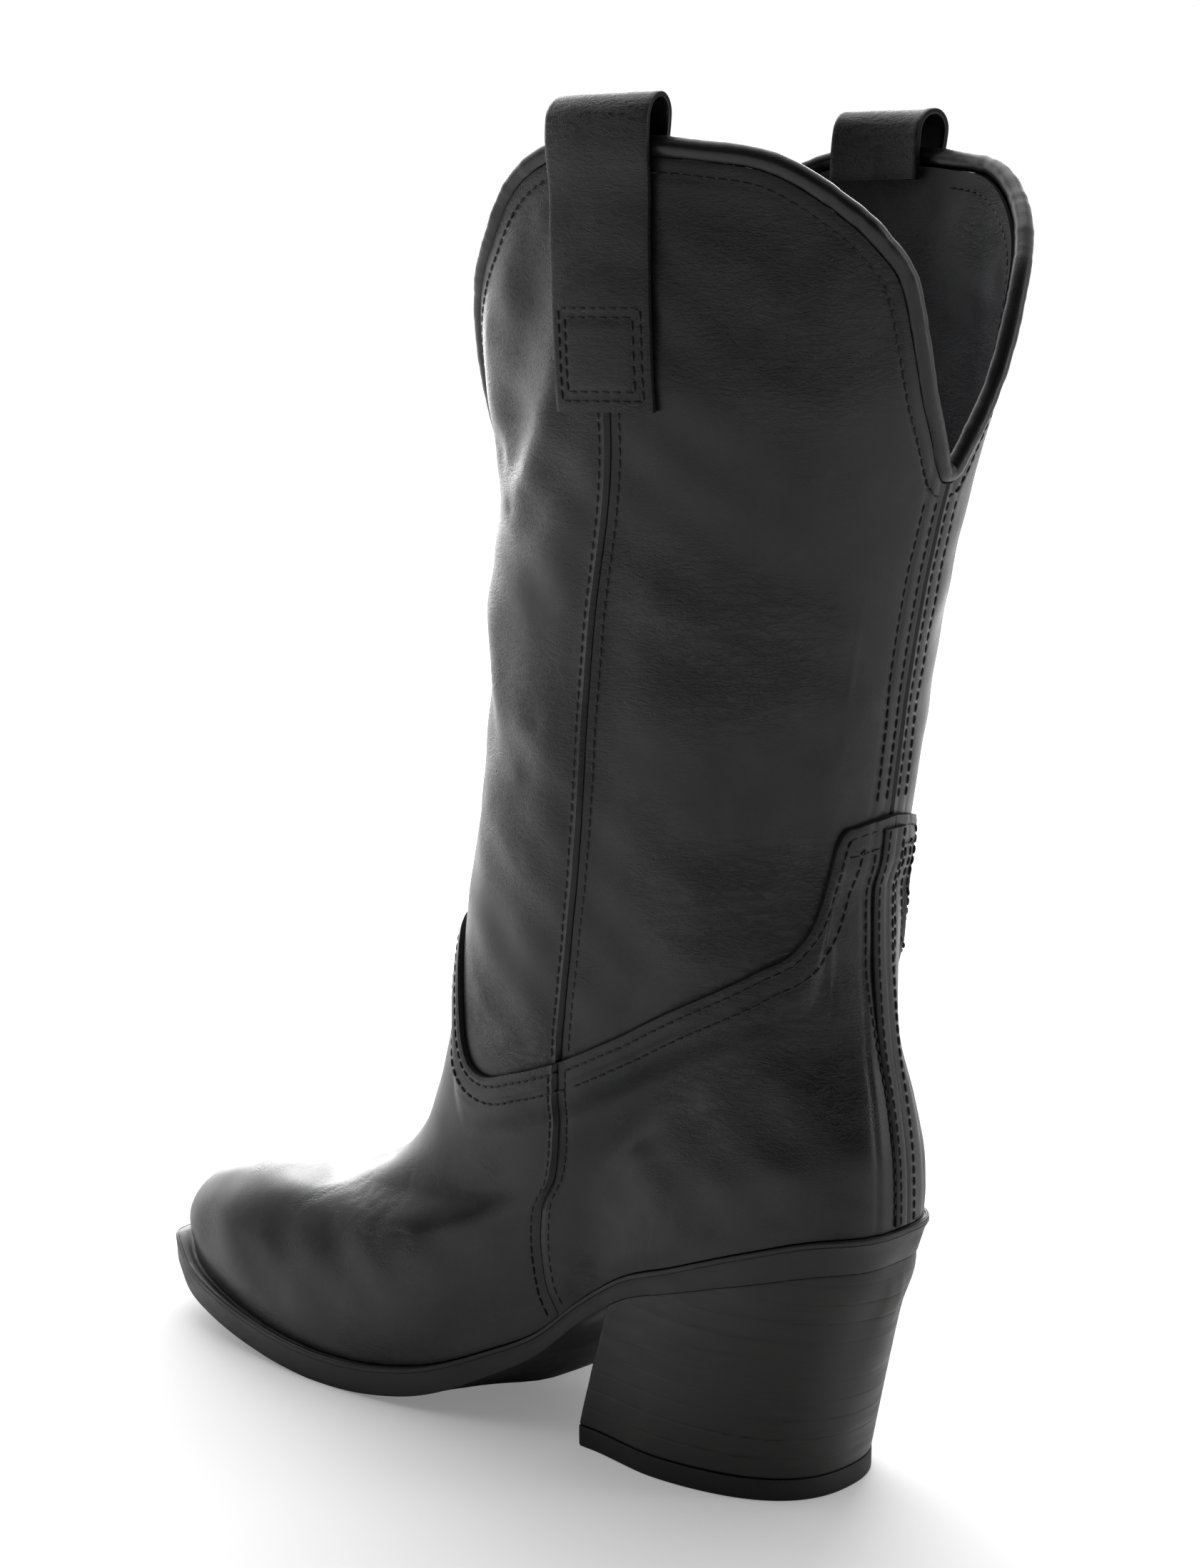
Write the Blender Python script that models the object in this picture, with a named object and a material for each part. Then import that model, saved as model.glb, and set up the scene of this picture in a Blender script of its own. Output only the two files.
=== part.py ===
"""Pull-on western boot for the right foot, built up from its cut pieces.

Frame: metres, +Z up, the toe towards -Y, the inner side of the foot towards +X.
The form is worked out with the back of the heel seat at y = 0 and the ground at
z = 0. A parent empty then puts the bottom centre of the whole boot at the origin.
"""
import math

import bpy
import bmesh
import numpy as np

# ---------------------------------------------------------------- driving sizes
FOOT_LENGTH = 0.270        # back of the heel seat to the tip of the upper
BALL_WIDTH = 0.080         # upper across the ball
CALF_WIDTH = 0.112         # shaft across, seam to seam, at the calf
SHAFT_LEVEL = 0.378        # height of the shaft form's top level, above the collar
HEEL_SEAT = 0.0775         # height of the upper's edge at the back of the heel
TREAD_TOP = 0.009          # height of the upper's edge at the ball
TOE_SPRING = 0.013         # how much higher the upper's edge is at the toe tip

LEATHER = 0.0014           # upper leather
LINING = 0.0010            # lining leather
STAY = 0.0006              # seam tape
TOE_PUFF = 0.0010          # stiffener over the toes
COUNTER_STIFFENER = 0.0014 # moulded cup round the heel
GAP = 0.0004               # clearance between two layers that lie together
JOIN_GAP = 0.0006          # clearance between two edges that meet

LAP = 0.009                # how far the shaft runs down inside the vamp and counters
PIPING_RADIUS = 0.0025     # rolled collar piping
STRAP_WIDTH = 0.031        # pull strap
STRAP_THICKNESS = 0.0018
STRAP_LOOP_RISE = 0.0155   # top of the pull loop above the collar's crest
STRAP_DROP = 0.062         # collar crest to the sewn end of the strap
STRAP_TUCK = 0.0040        # the strap's inner end lies that far below the collar
STRAP_TURN = 89            # degrees round from the back seam to the strap's middle
BACKSTAY_WIDTH = 0.0085    # strip over the heel's back seam
BACKSTAY_THICKNESS = 0.0012

OUTSOLE_LEDGE_TOE = 0.0045  # outsole edge beyond the upper at the toe
OUTSOLE_LEDGE_BALL = 0.0030
OUTSOLE_LEDGE_HEEL = 0.0014
WAIST_BELLY = 0.0090       # how far the outsole bellies down under the arch
SEAT_RAND = 0.0100         # outsole thickness at the back of the heel seat
BREAST_Y = -0.084          # front face of the heel, at the seat
BREAST_Y_GROUND = -0.0945  # the same at the ground
HEEL_HALF_WIDTH = 0.0305   # heel block at the ground
HEEL_BACK_GROUND = -0.0185 # back of the heel block at the ground
TOP_LIFT = 0.0060          # rubber tread piece of the heel

INSOLE = 0.0022            # insole board
FILLER = 0.0024            # layer under the insole board
FILLER_INSET = 0.0020      # how far it stays inside the board's edge
FILLER_BACK_Y = -0.119     # where it starts, in front of the shank
OUTSOLE_TAPER = 0.0006     # the outsole's wall leans in that much at its foot
REAR_TAPER = 0.0026        # and that much more at the back of the heel
TOE_SNIP = 0.0018          # how far the corners of the toe stand out from its round
SOCK = 0.0016              # sock lining
SHANK_WIDTH = 0.013
SHANK_THICKNESS = 0.0016
HEEL_SCREW_Y = -0.036
HEEL_SCREW_RADIUS = 0.0024
HEEL_NAIL_RADIUS = 0.0011
NAIL_RING = 0.0165         # nails' distance from the screw, round the heel seat


# ------------------------------------------------------------------ smooth curves
def curve(stations, values):
    """A smooth curve through (station, value) pairs, flat beyond its ends."""
    x = np.array(stations, float)
    y = np.array(values, float)
    step = np.diff(x)
    slope = np.diff(y) / step
    tangent = np.concatenate(([slope[0]], np.empty(len(x) - 2), [slope[-1]]))
    tangent[1:-1] = (slope[:-1] * step[1:] + slope[1:] * step[:-1]) / (step[:-1] + step[1:])

    def at(position):
        p = np.clip(np.asarray(position, float), x[0], x[-1])
        i = np.clip(np.searchsorted(x, p, side="right") - 1, 0, len(step) - 1)
        u = (p - x[i]) / step[i]
        rise = (3 - 2 * u) * u * u
        return (y[i] * (1 - rise) + y[i + 1] * rise
                + step[i] * u * (1 - u) * (tangent[i] * (1 - u) - tangent[i + 1] * u))

    return at


def smoothstep(low, high, value):
    u = np.clip((np.asarray(value, float) - low) / (high - low), 0, 1)
    return u * u * (3 - 2 * u)


# ------------------------------------------------------------------- form of boot
# Each row is one level of the form, from the edge of the sole (0) to the top (1):
# level, front and back positions as shares of the foot length, front and back heights
# as shares of the rise from the sole's edge to the top, half width as a share of
# the ball's or the calf's, how far it follows the calf, where along the level the
# widest point lies, and how square the back and the front are.
LEVELS = (
    (0.00, 1.000, 0.011, 0.000, 0.000, 1.000, 0.0, 0.62, 3.2, 1.6),
    (0.05, 1.004, 0.011, 0.025, 0.028, 1.012, 0.0, 0.62, 3.1, 1.6),
    (0.10, 0.970, 0.013, 0.053, 0.062, 1.000, 0.0, 0.60, 3.0, 1.7),
    (0.16, 0.889, 0.020, 0.079, 0.105, 0.938, 0.0, 0.57, 2.8, 1.8),
    (0.24, 0.733, 0.031, 0.101, 0.155, 0.838, 0.0, 0.53, 2.5, 1.9),
    (0.32, 0.633, 0.037, 0.140, 0.201, 0.838, 0.1, 0.50, 2.2, 2.0),
    (0.40, 0.589, 0.041, 0.211, 0.251, 0.837, 0.4, 0.48, 2.1, 2.0),
    (0.48, 0.556, 0.041, 0.303, 0.308, 0.810, 0.7, 0.48, 2.1, 2.1),
    (0.58, 0.525, 0.028, 0.430, 0.408, 0.795, 1.0, 0.49, 2.1, 2.1),
    (0.70, 0.496, 0.003, 0.579, 0.551, 0.875, 1.0, 0.50, 2.0, 2.0),
    (0.78, 0.481, -0.025, 0.687, 0.658, 0.935, 1.0, 0.50, 2.0, 2.0),
    (0.86, 0.500, -0.057, 0.792, 0.763, 1.025, 1.0, 0.50, 2.0, 2.0),
    (0.93, 0.511, -0.079, 0.890, 0.876, 1.080, 1.0, 0.50, 2.0, 2.0),
    (1.00, 0.500, -0.096, 1.000, 1.000, 1.105, 1.0, 0.50, 2.0, 2.0),
)
(LEVEL, FRONT_Y, BACK_Y, FRONT_Z, BACK_Z, WIDTH,
 CALF_SHARE, WIDEST, BACK_SQUARE, FRONT_SQUARE) = np.array(LEVELS).T
front_y_at = curve(LEVEL, -FRONT_Y * FOOT_LENGTH)
back_y_at = curve(LEVEL, -BACK_Y * FOOT_LENGTH)
front_z_share = curve(LEVEL, FRONT_Z)
back_z_share = curve(LEVEL, BACK_Z)
half_width_at = curve(
    LEVEL, WIDTH * ((1 - CALF_SHARE) * BALL_WIDTH + CALF_SHARE * CALF_WIDTH) / 2)
widest_at = curve(LEVEL, WIDEST)
back_square_at = curve(LEVEL, BACK_SQUARE)
front_square_at = curve(LEVEL, FRONT_SQUARE)

# The edge of the sole seen from the side: share of the foot length from the heel,
# and the share of the heel seat's height above the tread.
edge_share_at = curve(
    (0.00, 0.055, 0.130, 0.222, 0.296, 0.352, 0.400, 0.463, 0.537, 0.611, 0.704, 0.80),
    (1.00, 0.978, 0.890, 0.752, 0.635, 0.482, 0.321, 0.190, 0.073, 0.015, 0.00, 0.01))
toe_spring_at = curve((0.70, 0.80, 0.89, 0.97, 1.00), (0.0, 0.12, 0.42, 0.77, 1.0))
belly_across = curve((0, 0.2, 0.5, 0.8, 1), (0.45, 0.85, 1.0, 0.45, 0))
edge_fade_at = curve((0, 0.05, 0.16, 0.32, 0.5, 1), (1, 0.93, 0.62, 0.22, 0, 0))
pinch_fade_at = curve((0, 0.1, 0.24, 0.4, 0.6, 1), (1, 0.85, 0.5, 0.2, 0, 0))
bend_fade_at = curve((0, 0.15, 0.4, 0.6, 1), (1, 0.9, 0.4, 0, 0))
foot_bend_at = curve((0, 0.2, 0.4, 0.62, 0.8, 1), (0, 0, -0.001, -0.003, -0.001, 0.005))
INNER_PINCH = 0.31
OUTER_PINCH = 0.25


def edge_height(y):
    """Height of the upper's lower edge over a place along the foot."""
    along = -np.asarray(y, float) / FOOT_LENGTH
    arch = TREAD_TOP + edge_share_at(along) * (HEEL_SEAT - TREAD_TOP)
    return arch + toe_spring_at(along) * TOE_SPRING


def form(turn, level):
    """A point of the boot's outer form. turn is in degrees round from the back."""
    turn, level = np.broadcast_arrays(np.asarray(turn, float), np.asarray(level, float))
    angle = np.radians(turn)
    along = (1 - np.cos(angle)) / 2
    y = back_y_at(level) + (front_y_at(level) - back_y_at(level)) * along
    sole_y = back_y_at(0) + (front_y_at(0) - back_y_at(0)) * along
    toe_edge = edge_height(front_y_at(0))
    heel_edge = edge_height(back_y_at(0))
    front_z = toe_edge + front_z_share(level) * (SHAFT_LEVEL - toe_edge)
    back_z = heel_edge + back_z_share(level) * (SHAFT_LEVEL - heel_edge)
    straight = heel_edge + (toe_edge - heel_edge) * along
    z = back_z + (front_z - back_z) * along
    z = z + (edge_height(sole_y) - straight) * edge_fade_at(level)
    widest = widest_at(level)
    behind = along < widest
    reach = np.where(behind, (widest - along) / widest, (along - widest) / (1 - widest))
    square = np.where(behind, back_square_at(level), front_square_at(level))
    outline = np.clip(1 - reach * reach, 0, 1) ** (1 / square)
    inner_side = np.sin(angle) >= 0
    pinch = np.where(inner_side, INNER_PINCH, OUTER_PINCH) * pinch_fade_at(level)
    waist = 1 - pinch * np.exp(-(((along - 0.34) / 0.17) ** 2))
    x = half_width_at(level) * outline * waist * np.where(inner_side, 1, -1)
    x = x + foot_bend_at(along) * bend_fade_at(level)
    return np.stack([x, y, z], -1)


def normal(turn, level):
    """Outward unit normal of the form."""
    turn, level = np.broadcast_arrays(np.asarray(turn, float), np.asarray(level, float))
    low = np.clip(level - 0.004, 0, 1)
    high = np.clip(level + 0.004, 0, 1)
    round_step = form(turn + 1.0, level) - form(turn - 1.0, level)
    up_step = form(turn, high) - form(turn, low)
    across = np.cross(up_step, round_step)
    return across / np.linalg.norm(across, axis=-1, keepdims=True)


def skin(turn, level, offset):
    """A point at a distance outside the form."""
    return form(turn, level) + normal(turn, level) * np.asarray(offset, float)[..., None]


def round_way(turn, level):
    """Unit vector round the form, towards a larger turn."""
    step = form(np.asarray(turn) + 0.5, level) - form(np.asarray(turn) - 0.5, level)
    return step / np.linalg.norm(step, axis=-1, keepdims=True)


def lower(turn, level, distance):
    """The level that lies a distance in metres below another, along the form."""
    level = np.asarray(level, float)
    step = form(turn, level) - form(turn, level - 0.01)
    return level - 0.01 * distance / np.linalg.norm(step, axis=-1)


# ------------------------------------------------------------- seam and edge lines
side_seam_at = curve((0, 0.02, 0.09, 0.19, 0.26, 0.32, 0.38, 0.54, 0.70, 0.83, 1.0),
                     (75, 75.4, 77.6, 83.4, 89.6, 93.8, 94.5, 92.5, 91.5, 88.5, 88))
vamp_line = curve((0, 94.5, 109, 120.5, 128, 133, 138.5, 146, 156, 168, 180),
                  (0.383, 0.383, 0.383, 0.386, 0.401, 0.419, 0.446, 0.478, 0.502, 0.512, 0.515))
counter_line = curve((0, 6.5, 15.5, 19.5, 21.5, 23.5, 26.5, 32, 43.5, 58, 73.5, 94.5),
                     (0.541, 0.539, 0.536, 0.533, 0.522, 0.490, 0.456, 0.426, 0.409, 0.398,
                      0.391, 0.383))
collar_line = curve(
    (0, 3, 5.5, 8, 11.5, 17.5, 22.5, 27, 34, 43.5, 55, 70, 90, 104, 114, 123, 132, 140, 147, 154,
     163, 172, 180),
    (0.776, 0.777, 0.782, 0.791, 0.806, 0.833, 0.864, 0.892, 0.912, 0.930, 0.946, 0.953, 0.956, 0.953,
     0.940, 0.917, 0.896, 0.872, 0.838, 0.807, 0.785, 0.773, 0.769))

# Stations round the boot that every layer shares, so that layers stay parallel.
SIDE = 94.5
BACK_TURNS = np.array((0, 3, 6, 9, 12, 15, 18, 21, 24, 29, 36, 44, 53, 63, 72, 80, 87, SIDE))
# Levels that the low rows of every layer share, for the same reason.
LOW_ROWS = (0, 0.02, 0.045, 0.075, 0.11, 0.15, 0.19, 0.225, 0.26)
HALF_FRONT = (SIDE, 97.5, 101, 105, 110, 116, 123, 131, 140, 150, 160, 170)
FRONT_TURNS = np.array(HALF_FRONT + (180,) + tuple(360 - t for t in reversed(HALF_FRONT)))


def folded(turn):
    """A turn past the toe counted back from the heel, for lines alike on both sides."""
    turn = np.abs(np.asarray(turn, float))
    return np.where(turn > 180, 360 - turn, turn)


def front_turn(nominal, level):
    """Moves a nominal front station so that the first and last lie on the side seams."""
    seam = side_seam_at(level)
    share = (nominal - SIDE) / (360 - 2 * SIDE)
    return seam + (360 - 2 * seam) * share


def back_turn(nominal, level):
    """The same for a back station, which may be on either side."""
    return nominal * side_seam_at(level) / SIDE


# ---------------------------------------------------------------- mesh tools
def material(name, colour, roughness, metallic=0.0):
    mat = bpy.data.materials.new(name)
    mat.use_nodes = True
    shader = mat.node_tree.nodes["Principled BSDF"]
    shader.inputs["Base Color"].default_value = (*colour, 1)
    shader.inputs["Roughness"].default_value = roughness
    shader.inputs["Metallic"].default_value = metallic
    mat.diffuse_color = (*colour, 1)
    return mat


def solid(name, points, faces, mat):
    """One closed body, with its faces turned outwards."""
    mesh = bpy.data.meshes.new(name)
    mesh.from_pydata([tuple(float(c) for c in p) for p in points], [], faces)
    form_mesh = bmesh.new()
    form_mesh.from_mesh(mesh)
    bmesh.ops.recalc_face_normals(form_mesh, faces=form_mesh.faces)
    form_mesh.to_mesh(mesh)
    form_mesh.free()
    mesh.materials.append(mat)
    mesh.shade_smooth()
    mesh.set_sharp_from_angle(angle=math.radians(35))
    part = bpy.data.objects.new(name, mesh)
    bpy.context.collection.objects.link(part)
    part.parent = stand
    return part


def plate(name, outer, inner, mat, ring=False):
    """A closed body between two like grids of points, rows by columns.

    ring joins the last column to the first.
    """
    rows, columns = outer.shape[:2]
    points = np.concatenate((outer.reshape(-1, 3), inner.reshape(-1, 3)))
    below = rows * columns
    spans = columns if ring else columns - 1
    faces = []
    for r in range(rows - 1):
        for c in range(spans):
            a = r * columns + c
            b = r * columns + (c + 1) % columns
            quad = (a, b, b + columns, a + columns)
            faces.append(quad)
            faces.append(tuple(below + i for i in reversed(quad)))
    for c in range(spans):
        for a, b in ((c, (c + 1) % columns),
                     ((rows - 1) * columns + (c + 1) % columns, (rows - 1) * columns + c)):
            faces.append((b, a, below + a, below + b))
    if not ring:
        for r in range(rows - 1):
            first = r * columns
            last = first + columns - 1
            faces.append((first, first + columns, below + first + columns, below + first))
            faces.append((last + columns, last, below + last, below + last + columns))
    return solid(name, points, faces, mat)


def panel(name, nominal, rows, outer_offset, thickness, mat, place, ring=False,
          trim=True, flat_base=False):
    """A leather piece on the form.

    nominal is the list of stations round the boot, rows the levels of its rows, each a
    function of the station, and place turns a station and a level into a turn.
    outer_offset is the outer face's distance outside the form, a number or a function.
    """
    nominal = np.asarray(nominal, float)
    levels = np.array([row(nominal) for row in rows])
    turns = np.array([place(nominal, level) for level in levels])
    offset = outer_offset(turns, levels) if callable(outer_offset) else outer_offset
    offset = np.broadcast_to(offset, levels.shape)
    outer = skin(turns, levels, offset)
    inner = skin(turns, levels, offset - thickness)
    if trim:
        for column, way in ((0, 1), (-1, -1)):
            shift = round_way(turns[:, column], levels[:, column]) * way * JOIN_GAP / 2
            outer[:, column] += shift
            inner[:, column] += shift
    if flat_base:
        base = form(turns[0], np.zeros_like(turns[0]))[:, 2]
        outer[0, :, 2] = base
        inner[0, :, 2] = base
    return plate(name, outer, inner, mat, ring)


def rows_between(low, high, count, ease=1.0):
    """Level functions from low to high, both functions of the station."""
    def row(share):
        return lambda turn: low(turn) + (high(turn) - low(turn)) * share ** ease
    return [row(i / count) for i in range(count + 1)]


def level_row(value):
    return lambda turn: np.full(np.shape(turn), float(value))


# ------------------------------------------------------------------ upper leather
# Depths of the inner layers' outer faces below the form.
STAY_DEPTH = LEATHER + GAP
SHAFT_LINING_DEPTH = STAY_DEPTH + STAY + GAP
FOOT_LINING_DEPTH = STAY_DEPTH + max(TOE_PUFF, COUNTER_STIFFENER) + GAP
LAP_RISE = LEATHER + GAP   # how far the vamp and counters stand off to clear the shaft
LINING_JOIN = 0.36         # level at which the shaft's lining meets the foot's


def raised_over(line):
    """Offset of a piece that laps over the shaft's edge along a line."""
    def offset(turns, levels):
        edge = line(folded(turns))
        start = lower(turns, edge, LAP + STEP_CLEAR + STEP_RUN)
        full = lower(turns, edge, LAP + STEP_CLEAR)
        return LAP_RISE * smoothstep(start, full, levels)
    return offset


def on_line(line, place):
    """The level at which a station meets a line round the boot."""
    def level_at(nominal):
        level = line(folded(nominal))
        for _ in range(4):
            level = line(folded(place(nominal, level)))
        return level
    return level_at


vamp_edge = on_line(vamp_line, front_turn)
counter_edge = on_line(counter_line, back_turn)
front_collar = on_line(collar_line, front_turn)
back_collar = on_line(collar_line, back_turn)


STEP_RUN = 0.012           # length over which a lapping piece steps out over the shaft
STEP_CLEAR = 0.001         # the step ends that far below the shaft's lower edge


def lapped_rows(line, count):
    """Rows of a lapping piece, with rows at the foot and the head of its step."""
    def step_foot(turn):
        return lower(turn, line(turn), LAP + STEP_CLEAR + STEP_RUN)

    def step_head(turn):
        return lower(turn, line(turn), LAP + STEP_CLEAR)

    return ([level_row(v) for v in LOW_ROWS]
            + rows_between(level_row(LOW_ROWS[-1]), step_foot, count)[1:]
            + rows_between(step_foot, step_head, 2)[1:] + [line])


def below(line, distance):
    return lambda turn: lower(turn, line(turn), distance)


INNER_BACK = BACK_TURNS
OUTER_BACK = -BACK_TURNS[::-1]
BOTH_BACK = np.concatenate((OUTER_BACK[:-1], INNER_BACK))


def make_upper(leather, edge_leather):
    panel("vamp", FRONT_TURNS, lapped_rows(vamp_edge, 2), raised_over(vamp_line),
          LEATHER, leather, front_turn, flat_base=True)
    for side, stations in (("inner", INNER_BACK), ("outer", OUTER_BACK)):
        panel("counter_" + side, stations, lapped_rows(counter_edge, 3),
              raised_over(counter_line), LEATHER, leather, back_turn, flat_base=True)
        panel("shaft_back_" + side, stations,
              rows_between(below(counter_edge, LAP), back_collar, 10), 0, LEATHER,
              leather, back_turn)
    panel("shaft_front", FRONT_TURNS,
          rows_between(below(vamp_edge, LAP), front_collar, 10), 0, LEATHER, leather,
          front_turn)
    make_backstay(leather)
    make_collar_piping(edge_leather)


def turn_for_x(distance, level):
    """The turn near the heel's back at which the form is that far from the middle."""
    turns = np.linspace(0, 40, 400)
    level = np.broadcast_to(level, np.shape(distance))
    found = [np.interp(abs(d), form(turns, v)[:, 0], turns) for d, v in zip(distance, level)]
    return np.sign(distance) * np.array(found)


def make_backstay(leather):
    half = BACKSTAY_WIDTH / 2
    across = np.array((-half, -half / 2, 0, half / 2, half))
    counters = raised_over(counter_line)

    def offset(turns, levels):
        return counters(turns, levels) + GAP + BACKSTAY_THICKNESS

    middle = lapped_rows(counter_edge, 3)[1:-1]
    foot = level_row(LOW_ROWS[1] / 4)
    head = below(counter_edge, LAP / 3)
    panel("heel_backstay", across, [foot] + middle + [head], offset, BACKSTAY_THICKNESS,
          leather, turn_for_x, trim=False)


def collar_frame(turn):
    """Edge points of the collar, its outward normals and its upward directions."""
    level = collar_line(folded(turn))
    ahead = form(turn + 0.5, collar_line(folded(turn + 0.5)))
    behind = form(turn - 0.5, collar_line(folded(turn - 0.5)))
    along = ahead - behind
    along /= np.linalg.norm(along, axis=-1, keepdims=True)
    out = normal(turn, level)
    up = np.cross(out, along)
    up /= np.linalg.norm(up, axis=-1, keepdims=True)
    up *= np.where(up[..., 2:] < 0, -1, 1)
    return form(turn, level), out, up


def make_collar_piping(leather):
    back = back_turn(BOTH_BACK, back_collar(BOTH_BACK))
    front = front_turn(FRONT_TURNS, front_collar(FRONT_TURNS))
    turns = np.concatenate((back, front[1:-1]))
    edge, out, up = collar_frame(turns)
    middle = edge + up * (PIPING_RADIUS + GAP) - out * (LEATHER + SHAFT_LINING_DEPTH) / 4
    sides = 8
    rings = []
    for k in range(sides):
        a = 2 * math.pi * k / sides
        rings.append(middle + PIPING_RADIUS * (math.cos(a) * out + math.sin(a) * up))
    count = len(turns)
    points = np.concatenate(rings)
    faces = []
    for k in range(sides):
        for i in range(count):
            j = (i + 1) % count
            m = (k + 1) % sides
            faces.append((k * count + i, k * count + j, m * count + j, m * count + i))
    solid("collar_piping", points, faces, leather)


# --------------------------------------------------------------------- pull straps
def make_pull_straps(leather):
    levels = np.linspace(0.6, 1.0, 81)
    half = STRAP_THICKNESS / 2
    lining_face = SHAFT_LINING_DEPTH + LINING
    crest = float(form(STRAP_TURN, collar_line(STRAP_TURN))[2])
    outside = GAP + half
    inside = lining_face + 2 * GAP + half
    loop_outer = outside + 0.0029
    loop_inner = inside + 0.0012
    radius = (loop_outer + loop_inner) / 2
    middle = (loop_outer - loop_inner) / 2
    loop_height = STRAP_LOOP_RISE - half - radius
    path = [(outside, -STRAP_DROP * s) for s in (1, 0.8, 0.6, 0.4, 0.2)]
    path += [(outside + 0.0009, -0.004), (outside + 0.0021, 0.002)]
    for step in range(9):
        a = math.pi * step / 8
        path.append((middle + radius * math.cos(a), loop_height + radius * math.sin(a)))
    path += [(-inside - 0.0007, 0.002), (-inside, -STRAP_TUCK / 2), (-inside, -STRAP_TUCK)]
    path = np.array(path)
    run = np.gradient(path, axis=0)
    run /= np.linalg.norm(run, axis=1, keepdims=True)
    aside = np.stack((run[:, 1], -run[:, 0]), 1)
    across = np.linspace(-STRAP_WIDTH / 2, STRAP_WIDTH / 2, 5)
    for side, sign in (("inner", 1), ("outer", -1)):
        turn = sign * STRAP_TURN
        heights = form(turn, levels)[:, 2]
        faces = []
        for shift in (half, -half):
            offset, height = (path + aside * shift).T
            level = np.interp(crest + height, heights, levels)
            degree = form(turn + 0.5, level) - form(turn - 0.5, level)
            speed = np.linalg.norm(degree, axis=1)
            turns = turn + across[None, :] / speed[:, None]
            spread = np.broadcast_to(offset[:, None], turns.shape)
            faces.append(skin(turns, np.broadcast_to(level[:, None], turns.shape), spread))
        plate("pull_strap_" + side, faces[0], faces[1], leather)


# -------------------------------------------------------- linings, stays, stiffeners
def make_inner_layers(lining, tape, stiffener):
    panel("shaft_lining_front", FRONT_TURNS,
          rows_between(level_row(LINING_JOIN), front_collar, 11),
          -SHAFT_LINING_DEPTH, LINING, lining, front_turn)
    panel("shaft_lining_back", BOTH_BACK,
          rows_between(level_row(LINING_JOIN), back_collar, 10),
          -SHAFT_LINING_DEPTH, LINING, lining, back_turn)
    foot_rows = [level_row(v) for v in LOW_ROWS[1:] + (0.31, LINING_JOIN - 0.004)]
    panel("vamp_lining", FRONT_TURNS, foot_rows, -FOOT_LINING_DEPTH, LINING, lining,
          front_turn)
    panel("heel_lining", BOTH_BACK, foot_rows, -FOOT_LINING_DEPTH, LINING, lining,
          back_turn)
    toe_turns = [t for t in FRONT_TURNS if 128 < t < 232]
    panel("toe_puff", toe_turns, [level_row(v) for v in LOW_ROWS[1:6]], -STAY_DEPTH,
          TOE_PUFF, stiffener, front_turn, trim=False)
    cup_turns = [t for t in BOTH_BACK if abs(t) < 81]
    panel("heel_counter_stiffener", cup_turns, [level_row(v) for v in LOW_ROWS[1:]],
          -STAY_DEPTH, COUNTER_STIFFENER, stiffener, back_turn, trim=False)

    tape_rows = rows_between(level_row(0.41), level_row(0.92), 11)
    for side, sign in (("inner", 1), ("outer", -1)):
        panel("side_seam_tape_" + side, (-0.006, 0, 0.006), tape_rows, -STAY_DEPTH, STAY,
              tape, lambda d, level, sign=sign: seam_place(d, level, sign), trim=False)
    back_rows = rows_between(level_row(0.30), level_row(0.755), 9)
    panel("back_seam_tape", (-0.006, -0.003, 0, 0.003, 0.006), back_rows, -STAY_DEPTH,
          STAY, tape, turn_for_x, trim=False)


def seam_place(distance, level, sign):
    """The turn that lies a distance round the form from a side seam."""
    seam = sign * side_seam_at(level)
    degree = form(seam + 0.5, level) - form(seam - 0.5, level)
    return seam + distance / np.linalg.norm(degree, axis=-1)


# ------------------------------------------------------------------ bottom and heel
def bottom_turns():
    """Stations along the bottom: those of the upper's lower edge, and one at each end."""
    turns = list(back_turn(BACK_TURNS[1:], np.zeros(len(BACK_TURNS) - 1)))
    front = FRONT_TURNS[(FRONT_TURNS > SIDE) & (FRONT_TURNS < 180)]
    turns += list(front_turn(front, np.zeros(len(front))))
    turns += [1.0, 177.0]
    return np.array(sorted(turns))


def bottom_outline(turns, ledge):
    """Left and right points of the bottom's outline, a ledge outside the upper."""
    sides = []
    for sign in (-1, 1):
        points = form(sign * turns, np.zeros_like(turns))
        out = normal(sign * turns, np.zeros_like(turns))
        out[:, 2] = 0
        out /= np.linalg.norm(out, axis=1, keepdims=True)
        sides.append(points + out * np.broadcast_to(ledge, turns.shape)[:, None])
    return sides


def layer(name, turns, ledge, top, bottom, mat, columns=4, taper=0.0):
    """A layer of the bottom between two heights, each a function of the place along the
    foot and of the share of the way across, from the outer edge (0) to the inner (1)."""
    sheets = []
    for height, out in ((top, ledge), (bottom, ledge - taper)):
        left, right = bottom_outline(turns, out)
        share = np.linspace(0, 1, columns + 1)[None, :, None]
        sheet = left[:, None] * (1 - share) + right[:, None] * share
        sheet[..., 2] = height(sheet[..., 1], share[..., 0])
        sheets.append(sheet)
    return plate(name, sheets[0], sheets[1], mat)


def ledge_at(turns):
    y = form(turns, np.zeros_like(turns))[:, 1]
    along = -y / FOOT_LENGTH
    heel_part = OUTSOLE_LEDGE_HEEL * (1 - smoothstep(0.40, 0.58, along))
    ball_part = OUTSOLE_LEDGE_BALL * smoothstep(0.40, 0.58, along)
    toe_part = (OUTSOLE_LEDGE_TOE - OUTSOLE_LEDGE_BALL) * smoothstep(0.78, 0.98, along)
    snip = TOE_SNIP * np.exp(-((folded(turns) - 168) / 6.5) ** 2)
    return heel_part + ball_part + toe_part + snip


def rand_taper(turns):
    """How far the outsole's wall leans in at its foot, in line with the heel at the back."""
    y = form(turns, np.zeros_like(turns))[:, 1]
    return OUTSOLE_TAPER + REAR_TAPER * (1 - smoothstep(0.0, 0.14, -y / FOOT_LENGTH))


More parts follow.
